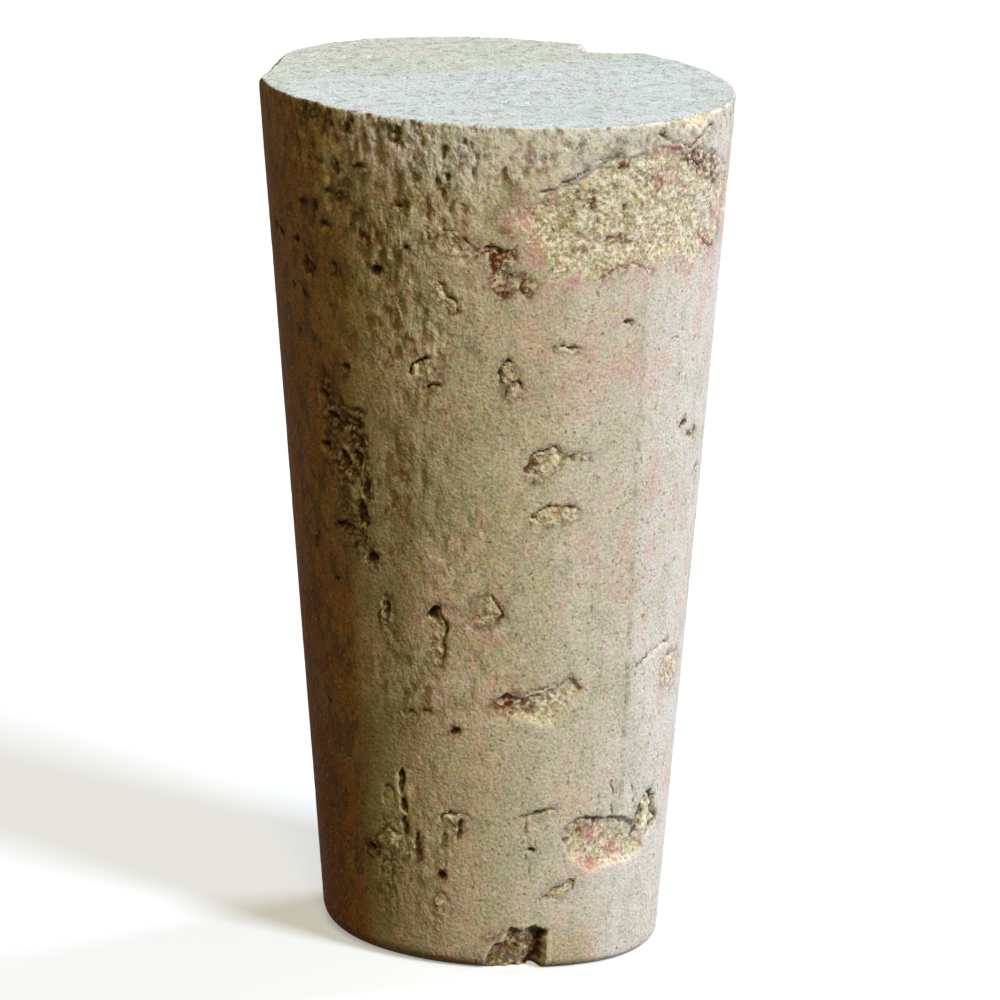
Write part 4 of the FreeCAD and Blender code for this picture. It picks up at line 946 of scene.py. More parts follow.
    def scribe_facet(self) -> None:
        """A faint upright arris between two passes of the grinding, leaning a little across the front."""
        line = np.interp(self.heights, FACET_HEIGHTS, FACET_BEARINGS)[:, None]
        off = np.radians(turned_from(line, self.bearings[None, :])) * self.radii[:, None]
        off = off + 0.4 * self.warp_girth
        tall = (smooth_step(5.0, 8.0, self.heights) * smooth_step(31.5, 29.5, self.heights))[:, None]
        groove = bell(off, FACET_WIDTH) * tall
        self.sink = np.maximum(self.sink, FACET_DEPTH * groove)
        # Painted shade along the groove.
        self.painted_crevice_shade = np.maximum(self.painted_crevice_shade, 0.22 * groove)
        dusty = smooth_step(-0.5, 0.3, self.middling) * bell(off, FACET_DUST_WIDTH) * tall
        self.dust[Dust.MOSS] = np.maximum(self.dust[Dust.MOSS], 0.60 * dusty)

    def cut_notch(self, notch: Notch) -> None:
        """Breaks the notch out of the foot's edge.

        Args:
            notch: The notch.
        """
        window = self.window(notch.middle, *notch.reach)
        edge = self.outline_distance(window, notch.outline, notch.middle)
        wall = smooth_step(0.02, -0.14, edge)
        share = np.clip(self.heights[window[0]] / notch.tall, 0.0, 1.0)
        along = np.interp(self.bearings[window[1]], *notch.slant)
        depth = (notch.depth_at_foot + (notch.depth_at_top - notch.depth_at_foot) * share) * along
        grains = 1.0 + 0.16 * self.middling[window] + 0.10 * self.fine[window] + 0.12 * self.coarse[window]
        self.deepen(window, wall * (depth * grains), edge)
        self.mark(self.crumb, window, wall)
        left = smooth_step(9.0, 2.0, self.bearings[window[1]])
        self.mark(self.dust[Dust.RUST], window, 0.50 * left * smooth_step(0.1, -0.2, edge))
        self.mark(self.dust[Dust.MOSS], window, 0.75 * smooth_step(0.05, -0.2, edge))
        # Painted shade along the notch's edge.
        self.mark(self.painted_crevice_shade, window, 0.3 * bell(edge + 0.03, 0.10))


def shader_node(
    tree: bpy.types.NodeTree, kind: str, settings: Optional[Dict[str, Any]] = None, **links: Any,
) -> bpy.types.Node:
    """Adds a node, sets its properties, and fills or links its inputs.

    Args:
        tree: The node tree.
        kind: Blender's name of the node's type, without its ShaderNode prefix.
        settings: Properties of the node itself.
        **links: Inputs by name, with _ for a space, or in_N for input N; each is a value or an output socket.

    Returns:
        The node.
    """
    node = tree.nodes.new("ShaderNode" + kind)
    for name, value in (settings or {}).items():
        setattr(node, name, value)
    for name, value in links.items():
        socket = node.inputs[int(name[3:])] if name.startswith("in_") else node.inputs[name.replace("_", " ")]
        if isinstance(value, Socket):
            tree.links.new(value, socket)
        else:
            socket.default_value = value
    return node


def linear(code: str) -> Tuple[float, float, float, float]:
    """Linear colour of an sRGB hex value.

    Args:
        code: The value, such as #BFAE8D.

    Returns:
        Red, green, blue and an alpha of 1.
    """
    parts = [int(code[at:at + 2], 16) / 255.0 for at in (1, 3, 5)]
    bent = [part / 12.92 if part <= 0.04045 else ((part + 0.055) / 1.055) ** 2.4 for part in parts]
    return (*bent, 1.0)


class Hue(Enum):
    """sRGB colours of aged natural cork."""

    OLD_BROWN = "#764019"
    BROWN = "#9A6836"
    TAN = "#BFAE8D"
    NEARLY_WHITE = "#E2D8CF"
    # The head's cool near-white: the cut face's pale tone with painted cool skylight in it.
    HEAD = "#DDE4EB"
    STRAW = "#D2C688"
    # Brown of the gouges: dirt with painted shade.
    GOUGED = "#80521E"
    SPECKLED = "#A98C4A"
    CREAM = "#F0E5C6"
    SHADOW = "#33220F"
    BARK = "#54381A"
    OUTLINE = "#5A4018"
    FRECKLE = "#85733F"
    RUST = "#672A0F"
    MAROON = "#43180C"
    ROSE = "#D07E86"
    ROSE_TAN = "#C99A7C"
    MOSS = "#75682C"
    OCHRE = "#C2AD76"
    OLIVE = "#6E6A34"
    GREY_GREEN = "#ABA98B"
    PINK = "#D6AC9C"
    CLOUD_WHITE = "#BFCACD"
    DARK_BARK = "#341C0C"
    FLECK = "#EFE2BC"
    MOTTLED = "#A3AFA8"


@dataclass(frozen=True)
class Factor:
    """A field of the finish, led from low and high to least and most and held there; eased bends the way.

    The field is an attribute of the mesh, one of the noises, or one that the finish works out from them.
    """

    field: str
    low: float = 0.0
    high: float = 1.0
    least: float = 0.0
    most: float = 1.0
    eased: bool = True


@dataclass(frozen=True)
class Coat:
    """A colour laid over what is below it, as strongly as its share times its factors.

    It may turn into another hue as a turning factor grows.
    """

    hue: Hue
    share: float
    factors: Tuple[Factor, ...]
    other: Hue = Hue.CREAM
    turning: Tuple[Factor, ...] = ()


# Noises: the size of their cells in millimetres, their octaves of detail, and whether they are drawn upright.
NOISES = {
    "speck": (0.13, 1.0, False), "granule": (0.20, 2.0, False), "streak": (0.26, 3.0, True),
    "cloud": (2.6, 3.0, False), "tint": (0.8, 4.0, True), "drift": (3.4, 3.0, True),
    "spark": (0.26, 1.0, False), "spot": (0.34, 2.0, False), "mottle": (0.42, 3.0, False),
    "crumbs": (0.30, 2.0, False), "clump": (0.60, 3.0, False), "tanned": (0.55, 3.0, True),
    "pore": (0.15, 0.0, False), "freckle": (0.21, 0.0, False), "dusty": (0.32, 3.0, False),
    "flecked": (0.24, 2.0, False), "broken": (0.40, 2.0, False),
}
UPRIGHT_SQUEEZE = (1.0, 1.0, 0.6)

ON_HEAD = Factor("head", eased=False)
ON_SIDE = Factor("head", least=1.0, most=0.0, eased=False)
MOST_ON_SIDE = Factor("head", least=1.0, most=0.55, eased=False)
# Where the skin is painted in shade; the speckles and dark spots laid there follow that painted shade.
IN_SHADE = Factor("bleach_and_painted_light", 0.45, 0.10)
TORN = Factor("rough", eased=False)
CRUMBLED = Factor("crumb", eased=False)
# Crumbs grow paler where the skin is painted lit: painted light on crumbled cork.
LIT_CRUMBS = Factor("bleach_and_painted_light", 0.0, 0.7, 0.18, 0.86)
DUSTY = Factor("dusty", 0.36, 0.52)
FLECKED = Factor("flecked", 0.38, 0.56, 0.25)

# Ground skin: brown, through tan, to nearly white along the tone and painted light, so its pale lit right and
# brown shaded left are partly painted light and shade; with soft clouds and mottling.
SKIN_COATS = (
    Coat(Hue.BROWN, 1.0, (Factor("bleach_and_painted_light", -0.4, 0.0),)),
    Coat(Hue.TAN, 1.0, (Factor("bleach_and_painted_light", 0.0, 0.5),)),
    Coat(Hue.NEARLY_WHITE, 1.0, (Factor("bleach_and_painted_light", 0.5, 1.0),)),
    Coat(Hue.TAN, 0.25, (Factor("cloud", 0.40, 0.75),)),
    Coat(Hue.HEAD, 1.0, (ON_HEAD,)),
    Coat(Hue.STRAW, 0.28, (Factor("aged", eased=False),)),
    Coat(Hue.CLOUD_WHITE, 0.30, (Factor("ring", eased=False),)),
    Coat(Hue.GREY_GREEN, 0.36, (Factor("blotch", 0.48, 0.62), MOST_ON_SIDE, Factor("bleach_and_painted_light", 0.0, 0.3, 0.3))),
    Coat(Hue.PINK, 0.45, (Factor("blotch", 0.50, 0.38), MOST_ON_SIDE, Factor("bleach_and_painted_light", 0.0, 0.4, 0.10))),
    Coat(Hue.MOSS, 0.50, (
        Factor("drift", 0.46, 0.60), Factor("bleach_and_painted_light", 0.55, 0.3), ON_SIDE, Factor("bleach_and_painted_light", 0.0, 0.25),
    )),
    Coat(Hue.DARK_BARK, 0.60, (Factor("tint", 0.50, 0.60), Factor("bleach_and_painted_light", 0.22, 0.05), ON_SIDE)),
    Coat(Hue.SPECKLED, 0.75, (Factor("spark", 0.60, 0.72), IN_SHADE, ON_SIDE)),
    Coat(Hue.DARK_BARK, 0.60, (Factor("spot", 0.40, 0.30), IN_SHADE, ON_SIDE)),
    Coat(Hue.MOTTLED, 0.60, (Factor("mottle", 0.50, 0.66), ON_HEAD)),
)
# Torn grain: straw and olive streaks, pale crests, and brown or olive gouges between them; all follow the
# relief, so the grain's own colours carry painted highlight and painted shade.
GRAIN_COATS = (
    # Raised streaks straw and sunken ones olive: grain colour with a painted highlight and painted shade.
    Coat(Hue.STRAW, 0.35, (TORN, Factor("streak", 0.50, 0.64))),
    Coat(Hue.OLIVE, 0.60, (TORN, Factor("streak", 0.47, 0.36))),
    # Pale crests: straw with a painted highlight, creamier where the skin is painted lit.
    Coat(Hue.STRAW, 0.70, (Factor("crest_with_painted_highlight", eased=False),), Hue.CREAM, (Factor("bleach_and_painted_light", 0.15, 0.50),)),
    # Gouges: brown or olive dirt with painted shade.
    Coat(Hue.GOUGED, 0.72, (Factor("gouge_dirt_and_painted_shade", eased=False),), Hue.OLIVE, (Factor("tint", 0.44, 0.54),)),
)
# Crumbled cork: cream grains with ochre between them, single bark-brown crumbs, and mossy and rosy clumps.
CRUMB_COATS = (
    Coat(Hue.OCHRE, 1.0, (CRUMBLED, LIT_CRUMBS, Factor("granule", 0.38, 0.50, 1.0, 0.0))),
    Coat(Hue.CREAM, 1.0, (CRUMBLED, LIT_CRUMBS, Factor("granule", 0.47, 0.59))),
    Coat(Hue.BARK, 0.50, (CRUMBLED, Factor("crumbs", 0.42, 0.34))),
    Coat(Hue.MOSS, 0.32, (CRUMBLED, Factor("clump", 0.52, 0.64))),
    Coat(Hue.ROSE_TAN, 0.30, (CRUMBLED, Factor("tanned", 0.48, 0.36))),
)
# Pores and freckles, lenticel dust, the brown outlines of what is torn out, painted shade in hollows and a
# painted highlight on raised places.
MARK_COATS = (
    Coat(Hue.BARK, 0.70, (Factor("pore", 0.74, 0.86), Factor("head", 0.0, 1.0, 1.0, 0.6))),
    Coat(Hue.FRECKLE, 0.65, (Factor("freckle", 0.73, 0.80),)),
    Coat(Hue.DARK_BARK, 0.92, (Factor("bark", eased=False), DUSTY, FLECKED)),
    Coat(Hue.MOSS, 0.80, (Factor("moss", eased=False), DUSTY, FLECKED)),
    Coat(Hue.ROSE, 0.80, (Factor("rose", eased=False), DUSTY, FLECKED)),
    Coat(Hue.RUST, 1.0, (Factor("rust", eased=False), DUSTY, FLECKED)),
    Coat(Hue.MAROON, 1.0, (Factor("maroon", eased=False), DUSTY, FLECKED)),
    Coat(Hue.FLECK, 0.90, (Factor("pale", eased=False), Factor("dusty", 0.36, 0.52, 0.55))),
    # Brown outline of torn edges, made darker by the painted crevice shade.
    Coat(Hue.OUTLINE, 1.0, (
        Factor("line", 0.11, 0.03), Factor("broken", 0.44, 0.58),
        Factor("painted_crevice_shade", 0.0, 1.0, 0.08, 1.08, False),
    )),
    # Painted shade in hollows, as deep as the crevice share lets it be.
    Coat(Hue.SHADOW, 1.0, (Factor("cavity", 0.02, 0.13), Factor("painted_crevice_shade", 0.0, 1.0, 0.05, 0.80, False))),
    # Painted highlight on raised places.
    Coat(Hue.CREAM, 0.35, (Factor("cavity", -0.02, -0.12),)),
)


@dataclass(frozen=True)
class GroundCork:
    """Natural cork, ground with grit and aged: matt and finely speckled, with painted light and shade in its
    colour beside its own bleached and brown tones.
    """

    roughness: float = 0.9
    specular: float = 0.2
    bump_mm: float = 0.07
    colour_speckle: float = 0.40
    grey_speckle: float = 0.45

    def fields(self, tree: bpy.types.NodeTree, attributes: Iterable[str]) -> Dict[str, Socket]:
        """Everything that the coats follow.

        Args:
            tree: The node tree.
            attributes: Names of the mesh's attributes.

        Returns:
            Sockets by name; speck_colour is the speckle's colour.
        """
        at = shader_node(tree, "TexCoord").outputs["Object"]
        upright = shader_node(tree, "Mapping", None, Vector=at, Scale=UPRIGHT_SQUEEZE).outputs["Vector"]
        found = {
            name: shader_node(tree, "Attribute", {"attribute_name": name}).outputs["Fac"]
            for name in attributes
        }
        for name, (size_mm, detail, is_upright) in NOISES.items():
            place = upright if is_upright else at
            scale = 1.0 / (size_mm * MM)
            noise = shader_node(tree, "TexNoise", None, Vector=place, Scale=scale, Detail=detail)
            found[name] = noise.outputs["Fac"]
            if name == "speck":
                found["speck_colour"] = noise.outputs["Color"]
        plus = {"operation": "MULTIPLY_ADD"}
        drift = shader_node(tree, "Math", plus, in_0=found["drift"], in_1=0.4, in_2=0.0).outputs[0]
        found["blotch"] = shader_node(tree, "Math", plus, in_0=found["tint"], in_1=0.6, in_2=drift).outputs[0]
        # The outline follows the torn edge 0.04 mm inside it, wandering by the granules.
        wobble = shader_node(tree, "Math", plus, in_0=found["granule"], in_1=0.28, in_2=-0.10).outputs[0]
        edge = shader_node(tree, "Math", {"operation": "ADD"}, in_0=found["edge"], in_1=wobble).outputs[0]
        found["line"] = shader_node(tree, "Math", {"operation": "ABSOLUTE"}, in_0=edge).outputs[0]
        return found

    def lay(
        self, tree: bpy.types.NodeTree, fields: Dict[str, Socket], colour: Any, coats: Sequence[Coat],
    ) -> Socket:
        """Lays coats over a colour, one after another.

        Args:
            tree: The node tree.
            fields: Sockets by name.
            colour: The colour below: a socket or a value.
            coats: The coats, lowest first.

        Returns:
            The colour on top.
        """
        mix = {"data_type": "RGBA"}
        for coat in coats:
            top: Any = linear(coat.hue.value)
            share: Any = coat.share
            for factor in (*coat.turning, *coat.factors):
                way = {"interpolation_type": "SMOOTHSTEP" if factor.eased else "LINEAR"}
                ends = {"in_1": factor.low, "in_2": factor.high, "in_3": factor.least, "in_4": factor.most}
                led = shader_node(tree, "MapRange", way, Value=fields[factor.field], **ends).outputs["Result"]
                if factor in coat.turning:
                    other = linear(coat.other.value)
                    top = shader_node(tree, "Mix", mix, in_0=led, in_6=top, in_7=other).outputs[2]
                else:
                    times = {"operation": "MULTIPLY"}
                    share = shader_node(tree, "Math", times, in_0=led, in_1=share).outputs[0]
            colour = shader_node(tree, "Mix", mix, in_0=share, in_6=colour, in_7=top).outputs[2]
        return colour

    def grain_height(self, tree: bpy.types.NodeTree, fields: Dict[str, Socket]) -> Socket:
        """Height of the finest grain: speckle, granules, more where it is crumbled, and streaks where torn.

        Args:
            tree: The node tree.
            fields: Sockets by name.

        Returns:
            The height, as a share of the bump's depth.
        """
        times, plus = {"operation": "MULTIPLY"}, {"operation": "MULTIPLY_ADD"}
        crumbled = shader_node(tree, "Math", plus, in_0=fields["crumb"], in_1=0.9, in_2=0.35).outputs[0]
        grit = shader_node(tree, "Math", times, in_0=fields["granule"], in_1=crumbled).outputs[0]
        torn = shader_node(tree, "Math", times, in_0=fields["rough"], in_1=1.7).outputs[0]
        rest = shader_node(tree, "Math", plus, in_0=fields["streak"], in_1=torn, in_2=grit).outputs[0]
        return shader_node(tree, "Math", plus, in_0=fields["speck"], in_1=0.5, in_2=rest).outputs[0]

    def material(self, attributes: Iterable[str]) -> bpy.types.Material:
        """Builds the material from the relief's attributes and noises scaled in millimetres.

        Args:
            attributes: Names of the mesh's attributes.

        Returns:
            The material.
        """
        made = bpy.data.materials.new("natural_cork_ground")
        made.use_nodes = True
        tree = made.node_tree
        tree.nodes.clear()
        fields = self.fields(tree, attributes)
        colour: Any = linear(Hue.OLD_BROWN.value)
        colour = self.lay(tree, fields, colour, SKIN_COATS + GRAIN_COATS + CRUMB_COATS)
        overlay = {"data_type": "RGBA", "blend_type": "OVERLAY"}
        for share, speckle in ((self.colour_speckle, "speck_colour"), (self.grey_speckle, "speck")):
            top = fields[speckle]
            colour = shader_node(tree, "Mix", overlay, in_0=share, in_6=colour, in_7=top).outputs[2]
        colour = self.lay(tree, fields, colour, MARK_COATS)
        height = self.grain_height(tree, fields)
        bump = shader_node(tree, "Bump", None, Strength=1.0, Distance=self.bump_mm * MM, Height=height)
        shader = shader_node(
            tree, "BsdfPrincipled", None, Base_Color=colour, Roughness=self.roughness,
            Specular_IOR_Level=self.specular, Normal=bump.outputs["Normal"],
        )
        shader_node(tree, "OutputMaterial", None, Surface=shader.outputs["BSDF"])
        return made


@dataclass(frozen=True)
class Stopper:
    """The stopper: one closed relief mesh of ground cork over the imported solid's form.

    Lengths are in millimetres. The skin has slow waves and a fine grain, deeper where it is torn. On the worn
    arris of the foot, arris_share of what is torn out goes in, counted up to arris_most.
    """

    blank: Blank
    row_step: float = 0.085
    front_step: float = 0.48
    back_step: float = 0.85
    front_bearings: Tuple[float, float] = (-95.0, 105.0)
    head_rings: int = 117
    foot_rings: int = 45
    blur_cells: int = 4
    wave_cell: float = 7.0
    wave_depth: float = 0.035
    skin_depth: float = 0.008
    torn_skin_depth: float = 0.05
    arris_share: float = 0.6
    arris_most: float = 0.12
    foot_pit_cell: float = 0.7
    foot_pit_depth: float = 0.16
    triangles: int = 192000
    finish: GroundCork = GroundCork()

    def bearings(self) -> np.ndarray:
        """Bearings of the columns, close together over the front and wider apart behind.

        Returns:
            The bearings, in degrees, between -180 and 180.
        """
        first, last = self.front_bearings
        front = np.linspace(first, last, int((last - first) / self.front_step), endpoint=False)
        rest = 360.0 + first - last
        behind = np.linspace(last, first + 360.0, int(rest / self.back_step), endpoint=False)
        return turned_from(0.0, np.concatenate([front, behind]))

    def place(self, bearings: np.ndarray, radii: np.ndarray, heights: np.ndarray) -> np.ndarray:
        """Points about the leaning middle line.

        Args:
            bearings: Bearings of the columns, in degrees.
            radii: Radii over the grid, in millimetres.
            heights: Heights of the rows, in millimetres.

        Returns:
            Points, (rows, columns, 3), in millimetres.
        """
        turn = np.radians(bearings)
        across = radii * np.sin(turn) - self.blank.lean * heights
        return np.stack([across, -radii * np.cos(turn), np.broadcast_to(heights, across.shape)], axis=-1)

    def relief(self, bearings: np.ndarray, heights: np.ndarray, points: np.ndarray) -> SideRelief:
        """Tears the side: grain, facet, patch, streak, flakes, notch, pits, stains and cracks.

        Args:
            bearings: Bearings of the columns, in degrees.
            heights: Heights of the rows, in millimetres.
            points: The grid's places on the blank.

        Returns:
            The torn side.
        """
        side = SideRelief(self.blank, bearings, heights, points)
        length = self.blank.length
        side.tear_grain(points)
        side.scribe_facet()
        middle, *outline = from_below_rim((PATCH.middle, *PATCH.outline), length)
        for tear in (replace(PATCH, middle=middle, outline=tuple(outline)), *TEARS):
            side.tear(tear)
        side.cut_notch(NOTCH)
        for pit in (*HEAD_PITS, *PATCH_PITS):
            side.tear_pit(replace(pit, height=length - pit.height))
        for pit in (*FRONT_PITS, *STREAK_PITS, *back_pits()):
            side.tear_pit(pit)
        for dust, spots in STAINS.items():
            for spot in spots:
                side.stain(dust, *spot)
        for crack in HEAD_CRACKS:
            side.split(replace(crack, route=from_below_rim(crack.route, length)))
        for crack in CRACKS:
            side.split(crack)
        return side

    def chip_rim(self, points: np.ndarray, bearings: np.ndarray, chip: Chip) -> Tuple[np.ndarray, np.ndarray]:
        """Presses what lies outside a chip's slanting face back onto it.

        The face runs from the head face, an inset from the rim, down to the side, a drop below it. Both
        swell from nothing at the chip's ends to their full size at its peak.

        Args:
            points: Points of the grid, (rows, columns, 3).
            bearings: Bearings of the columns.
            chip: The chip.

        Returns:
            The points, and how far each was pressed in.
        """
        share = turned_from(chip.start, bearings) / (chip.end - chip.start)
        slope = np.clip(np.minimum(share / chip.peak, (1.0 - share) / (1.0 - chip.peak)), -1.0, 1.0)
        grown = (1.0 + CHIP_RUNOUT) * np.sin(math.pi / 2 * np.clip(slope, 0.0, 1.0)) - CHIP_RUNOUT
        swell = np.where(slope > 0.0, grown, -1.0)
        slant = math.atan2(chip.inset, chip.drop)
        out, up = math.cos(slant), math.sin(slant)
        turn = np.radians(bearings)
        axis_x = points[..., 0] + self.blank.lean * points[..., 2]
        radial = axis_x * np.sin(turn) - points[..., 1] * np.cos(turn)
        rim = self.blank.head_radius - chip.inset * swell
        over = (radial - rim) * out + (points[..., 2] - self.blank.length) * up
        torn = CHIP_FINE_DEPTH * lattice_noise(points, CHIP_FINE_CELL, 41)
        torn = torn + CHIP_COARSE_DEPTH * lattice_noise(points, CHIP_COARSE_CELL, 42)
        inside = (np.abs(slope) < 1.0) & (swell > -CHIP_RUNOUT)
        press = np.where(inside, np.maximum(over + np.where(swell > 0.0, torn, 0.0), 0.0), 0.0)
        moved = points.copy()
        moved[..., 0] -= press * out * np.sin(turn)
        moved[..., 1] += press * out * np.cos(turn)
        moved[..., 2] -= press * up
        return moved, press

    @staticmethod
    def growth(points: np.ndarray) -> np.ndarray:
        """Distance across the growth bands, x turned by their bearing, plus their bend.

        Args:
            points: Places, (..., 3), in millimetres.

        Returns:
            Distances, in millimetres; larger ones are further back.
        """
        turn = math.radians(GROWTH_DEGREES)
        along = -points[..., 0] * math.sin(turn) + points[..., 1] * math.cos(turn)
        return along + GROWTH_BEND * lattice_noise(points, GROWTH_BEND_CELL, 51)

    def head_relief(self, points: np.ndarray) -> np.ndarray:
        """Depth of the head face below level: sawn growth bands, grain and pores, rougher at the back.

        Args:
            points: Points of the head's rings.

        Returns:
            Depths, in millimetres.
        """
        growth = self.growth(points)
        bands = 0.5 + 0.5 * np.sin(2 * math.pi * growth / SAWN_BAND)
        rough = smooth_step(*HEAD_ROUGH_PAST, growth)
        grain = 0.5 + 0.5 * fractal_noise(points, HEAD_GRAIN_CELL, 3, 52)
        pores = smooth_step(0.66, 0.9, lattice_noise(points, HEAD_PORE_CELL, 55))
        return SAWN_BAND_DEPTH * bands + (0.03 + 0.05 * rough) * grain + (0.05 + 0.02 * rough) * pores

    def build(self) -> bpy.types.Object:
        """Builds the mesh: foot rings, side rows and head rings on one grid, with a closed pole at each end.

        Returns:
            The dressed piece, told to the frame.
        """
        bearings = self.bearings()
        heights = self.blank.rows(self.row_step)
        radii = self.blank.ground(bearings, heights)
        ground = self.place(bearings[None, :], radii, heights[:, None])
        side = self.relief(bearings, heights, ground)
        waves = 0.5 + 0.5 * fractal_noise(ground, self.wave_cell, 2, 61)
        grain = 0.5 + 0.5 * (0.6 * side.middling + 0.4 * side.fine)
        skin = (self.skin_depth + self.torn_skin_depth * side.rough) * grain
        sink = side.sink + self.wave_depth * waves + skin
        worn = radii - self.arris_share * np.minimum(sink, self.arris_most)
        side_radii = np.minimum(worn, self.blank.radius(heights)[:, None] - sink)
        foot_share = np.linspace(0.0, 1.0, self.foot_rings + 1, endpoint=False)[1:]
        head_share = np.linspace(1.0, 0.0, self.head_rings + 1, endpoint=False)[1:]
        rows = np.concatenate([
            foot_share[:, None] * side_radii[0][None, :],
            side_radii,
            head_share[:, None] * side_radii[-1][None, :],
        ])
        at_head = np.full(self.head_rings, self.blank.length)
        levels = np.concatenate([np.zeros(self.foot_rings), heights, at_head])
        points = self.place(bearings[None, :], rows, levels[:, None])
        pressed = np.zeros(rows.shape)
        for chip in RIM_CHIPS:
            points, press = self.chip_rim(points, bearings, chip)
            pressed = np.maximum(pressed, press)
        rim_row = self.foot_rings + len(heights) - 1
        head_drop = self.head_relief(points[rim_row:])
        points[rim_row:, :, 2] -= head_drop * (pressed[rim_row:] < 0.01)
        # The foot face is pitted only inside its last two rings, so that it stands on a whole one.
        pitted = self.foot_rings - 2
        foot_pits = smooth_step(0.5, 0.85, lattice_noise(points[:pitted], self.foot_pit_cell, 71))
        points[:pitted, :, 2] += self.foot_pit_depth * foot_pits
        head_hollow = head_drop[1:] - blurred(head_drop, self.blur_cells)[1:]
        piece = self.mesh(points, self.layers(side, sink, head_hollow, points, pressed, levels))
        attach(piece, "root")
        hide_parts(NODE)
        return piece

    def over_grid(self, layer: np.ndarray, foot_value: float = 0.0, head_value: float = 0.0) -> np.ndarray:
        """A side layer with plain values on the two faces.

        Args:
            layer: Values over the side.
            foot_value: Value on the foot face.
            head_value: Value on the head face.

        Returns:
            Values over the whole grid.
        """
        columns = layer.shape[1]
        foot = np.full((self.foot_rings, columns), foot_value)
        return np.concatenate([foot, layer, np.full((self.head_rings, columns), head_value)])

    def bleach_and_painted_light(self, bearings: np.ndarray, levels: np.ndarray) -> np.ndarray:
        """How pale the skin is: its own bleached or brown tone with painted light and shade in it, by
        bearing, past the facet line, and in single zones.

        Args:
            bearings: Bearings of the columns.
            levels: Heights of the rows.

        Returns:
            0 for brown and 1 for nearly white, over the whole grid.
        """
        facet = np.interp(levels, FACET_HEIGHTS, FACET_BEARINGS)[:, None]
        past_facet = smooth_step(-0.8, 0.8, bearings[None, :] - facet) * (bearings[None, :] < 150.0)
        tall = smooth_step(4.0, 8.0, levels) * smooth_step(32.0, 29.0, levels)
        bleach_and_painted_light = np.interp(bearings, BLEACH_AND_PAINTED_LIGHT_BEARINGS, BLEACH_AND_PAINTED_LIGHT_SHARES)[None, :]
        bleach_and_painted_light = bleach_and_painted_light + (0.07 * past_facet - 0.03) * tall[:, None]
        # Painted shade: darker low down on the left.
        painted_low_left_shade = smooth_step(26.0, 4.0, levels)[:, None] * smooth_step(-40.0, -62.0, bearings)[None, :]
        bleach_and_painted_light = bleach_and_painted_light - 0.28 * painted_low_left_shade * (bearings > -130.0)[None, :]
        for tone in TONES:
            bleach_and_painted_light = bleach_and_painted_light + tone.over(bearings, levels, self.blank.length)
        # Painted light: a paler zone on the left, which moves the edge of the shade.
        painted_left_light = np.interp(bearings, PAINTED_LEFT_LIGHT_BEARINGS, (0.0, 1.0, 1.0, 0.0))[None, :]
        return bleach_and_painted_light + painted_left_light * np.interp(levels, PAINTED_LEFT_LIGHT_HEIGHTS, PAINTED_LEFT_LIGHT_SHARES)[:, None]

    def layers(
        self, side: SideRelief, sink: np.ndarray, head_hollow: np.ndarray, points: np.ndarray,
        pressed: np.ndarray, levels: np.ndarray,
    ) -> Dict[str, np.ndarray]:
        """Attributes that the finish reads, over the whole grid.

        Args:
            side: What is torn out of the side.
            sink: Depth of the side below the blank.
            head_hollow: How much deeper each place on the head lies than those round it.
            points: Points of the grid.
            pressed: How far each point was pressed in by a chip.
            levels: Heights of the rows.

        Returns:
            Arrays by name, each over the grid.
        """
        growth = self.growth(points)
        waves = 0.6 * np.sin(2 * math.pi * growth / AGED_BAND)
        on_head = np.zeros(points.shape[:2])
        on_head[self.foot_rings + len(side.heights) - 1:] = 1.0
        chipped = smooth_step(0.02, 0.10, pressed)
        cavity = sink - blurred(sink, self.blur_cells)
        plain_foot = np.zeros((self.foot_rings, len(side.bearings)))
        return {
            "edge": self.over_grid(side.edge, side.FAR, side.FAR),
            **{kind.value: self.over_grid(side.dust[kind]) for kind in Dust},
            "rough": self.over_grid(side.rough, foot_value=0.2),
            "crumb": np.maximum(self.over_grid(side.crumb), 0.6 * chipped),
            # Painted shade in crevices, at half strength over the whole head.
            "painted_crevice_shade": self.over_grid(side.painted_crevice_shade, head_value=0.5),
            # Raised grain for the painted highlight.
            "crest_with_painted_highlight": self.over_grid(side.crest_with_painted_highlight),
            # Cut grain for dirt and painted shade.
            "gouge_dirt_and_painted_shade": self.over_grid(side.gouge_dirt_and_painted_shade),
            # Depth below the blurred surface: painted shade in hollows and painted highlight on bumps,
            # stronger on the head.
            "cavity": np.concatenate([plain_foot, cavity, 1.6 * head_hollow]),
            "bleach_and_painted_light": self.bleach_and_painted_light(side.bearings, levels),
            "head": on_head * (1.0 - chipped),
            "aged": on_head * smooth_step(*HEAD_AGED_PAST, growth + waves),
            "ring": on_head * (0.5 + 0.5 * np.sin(2 * math.pi * growth / PALE_RING)) ** 2,
        }

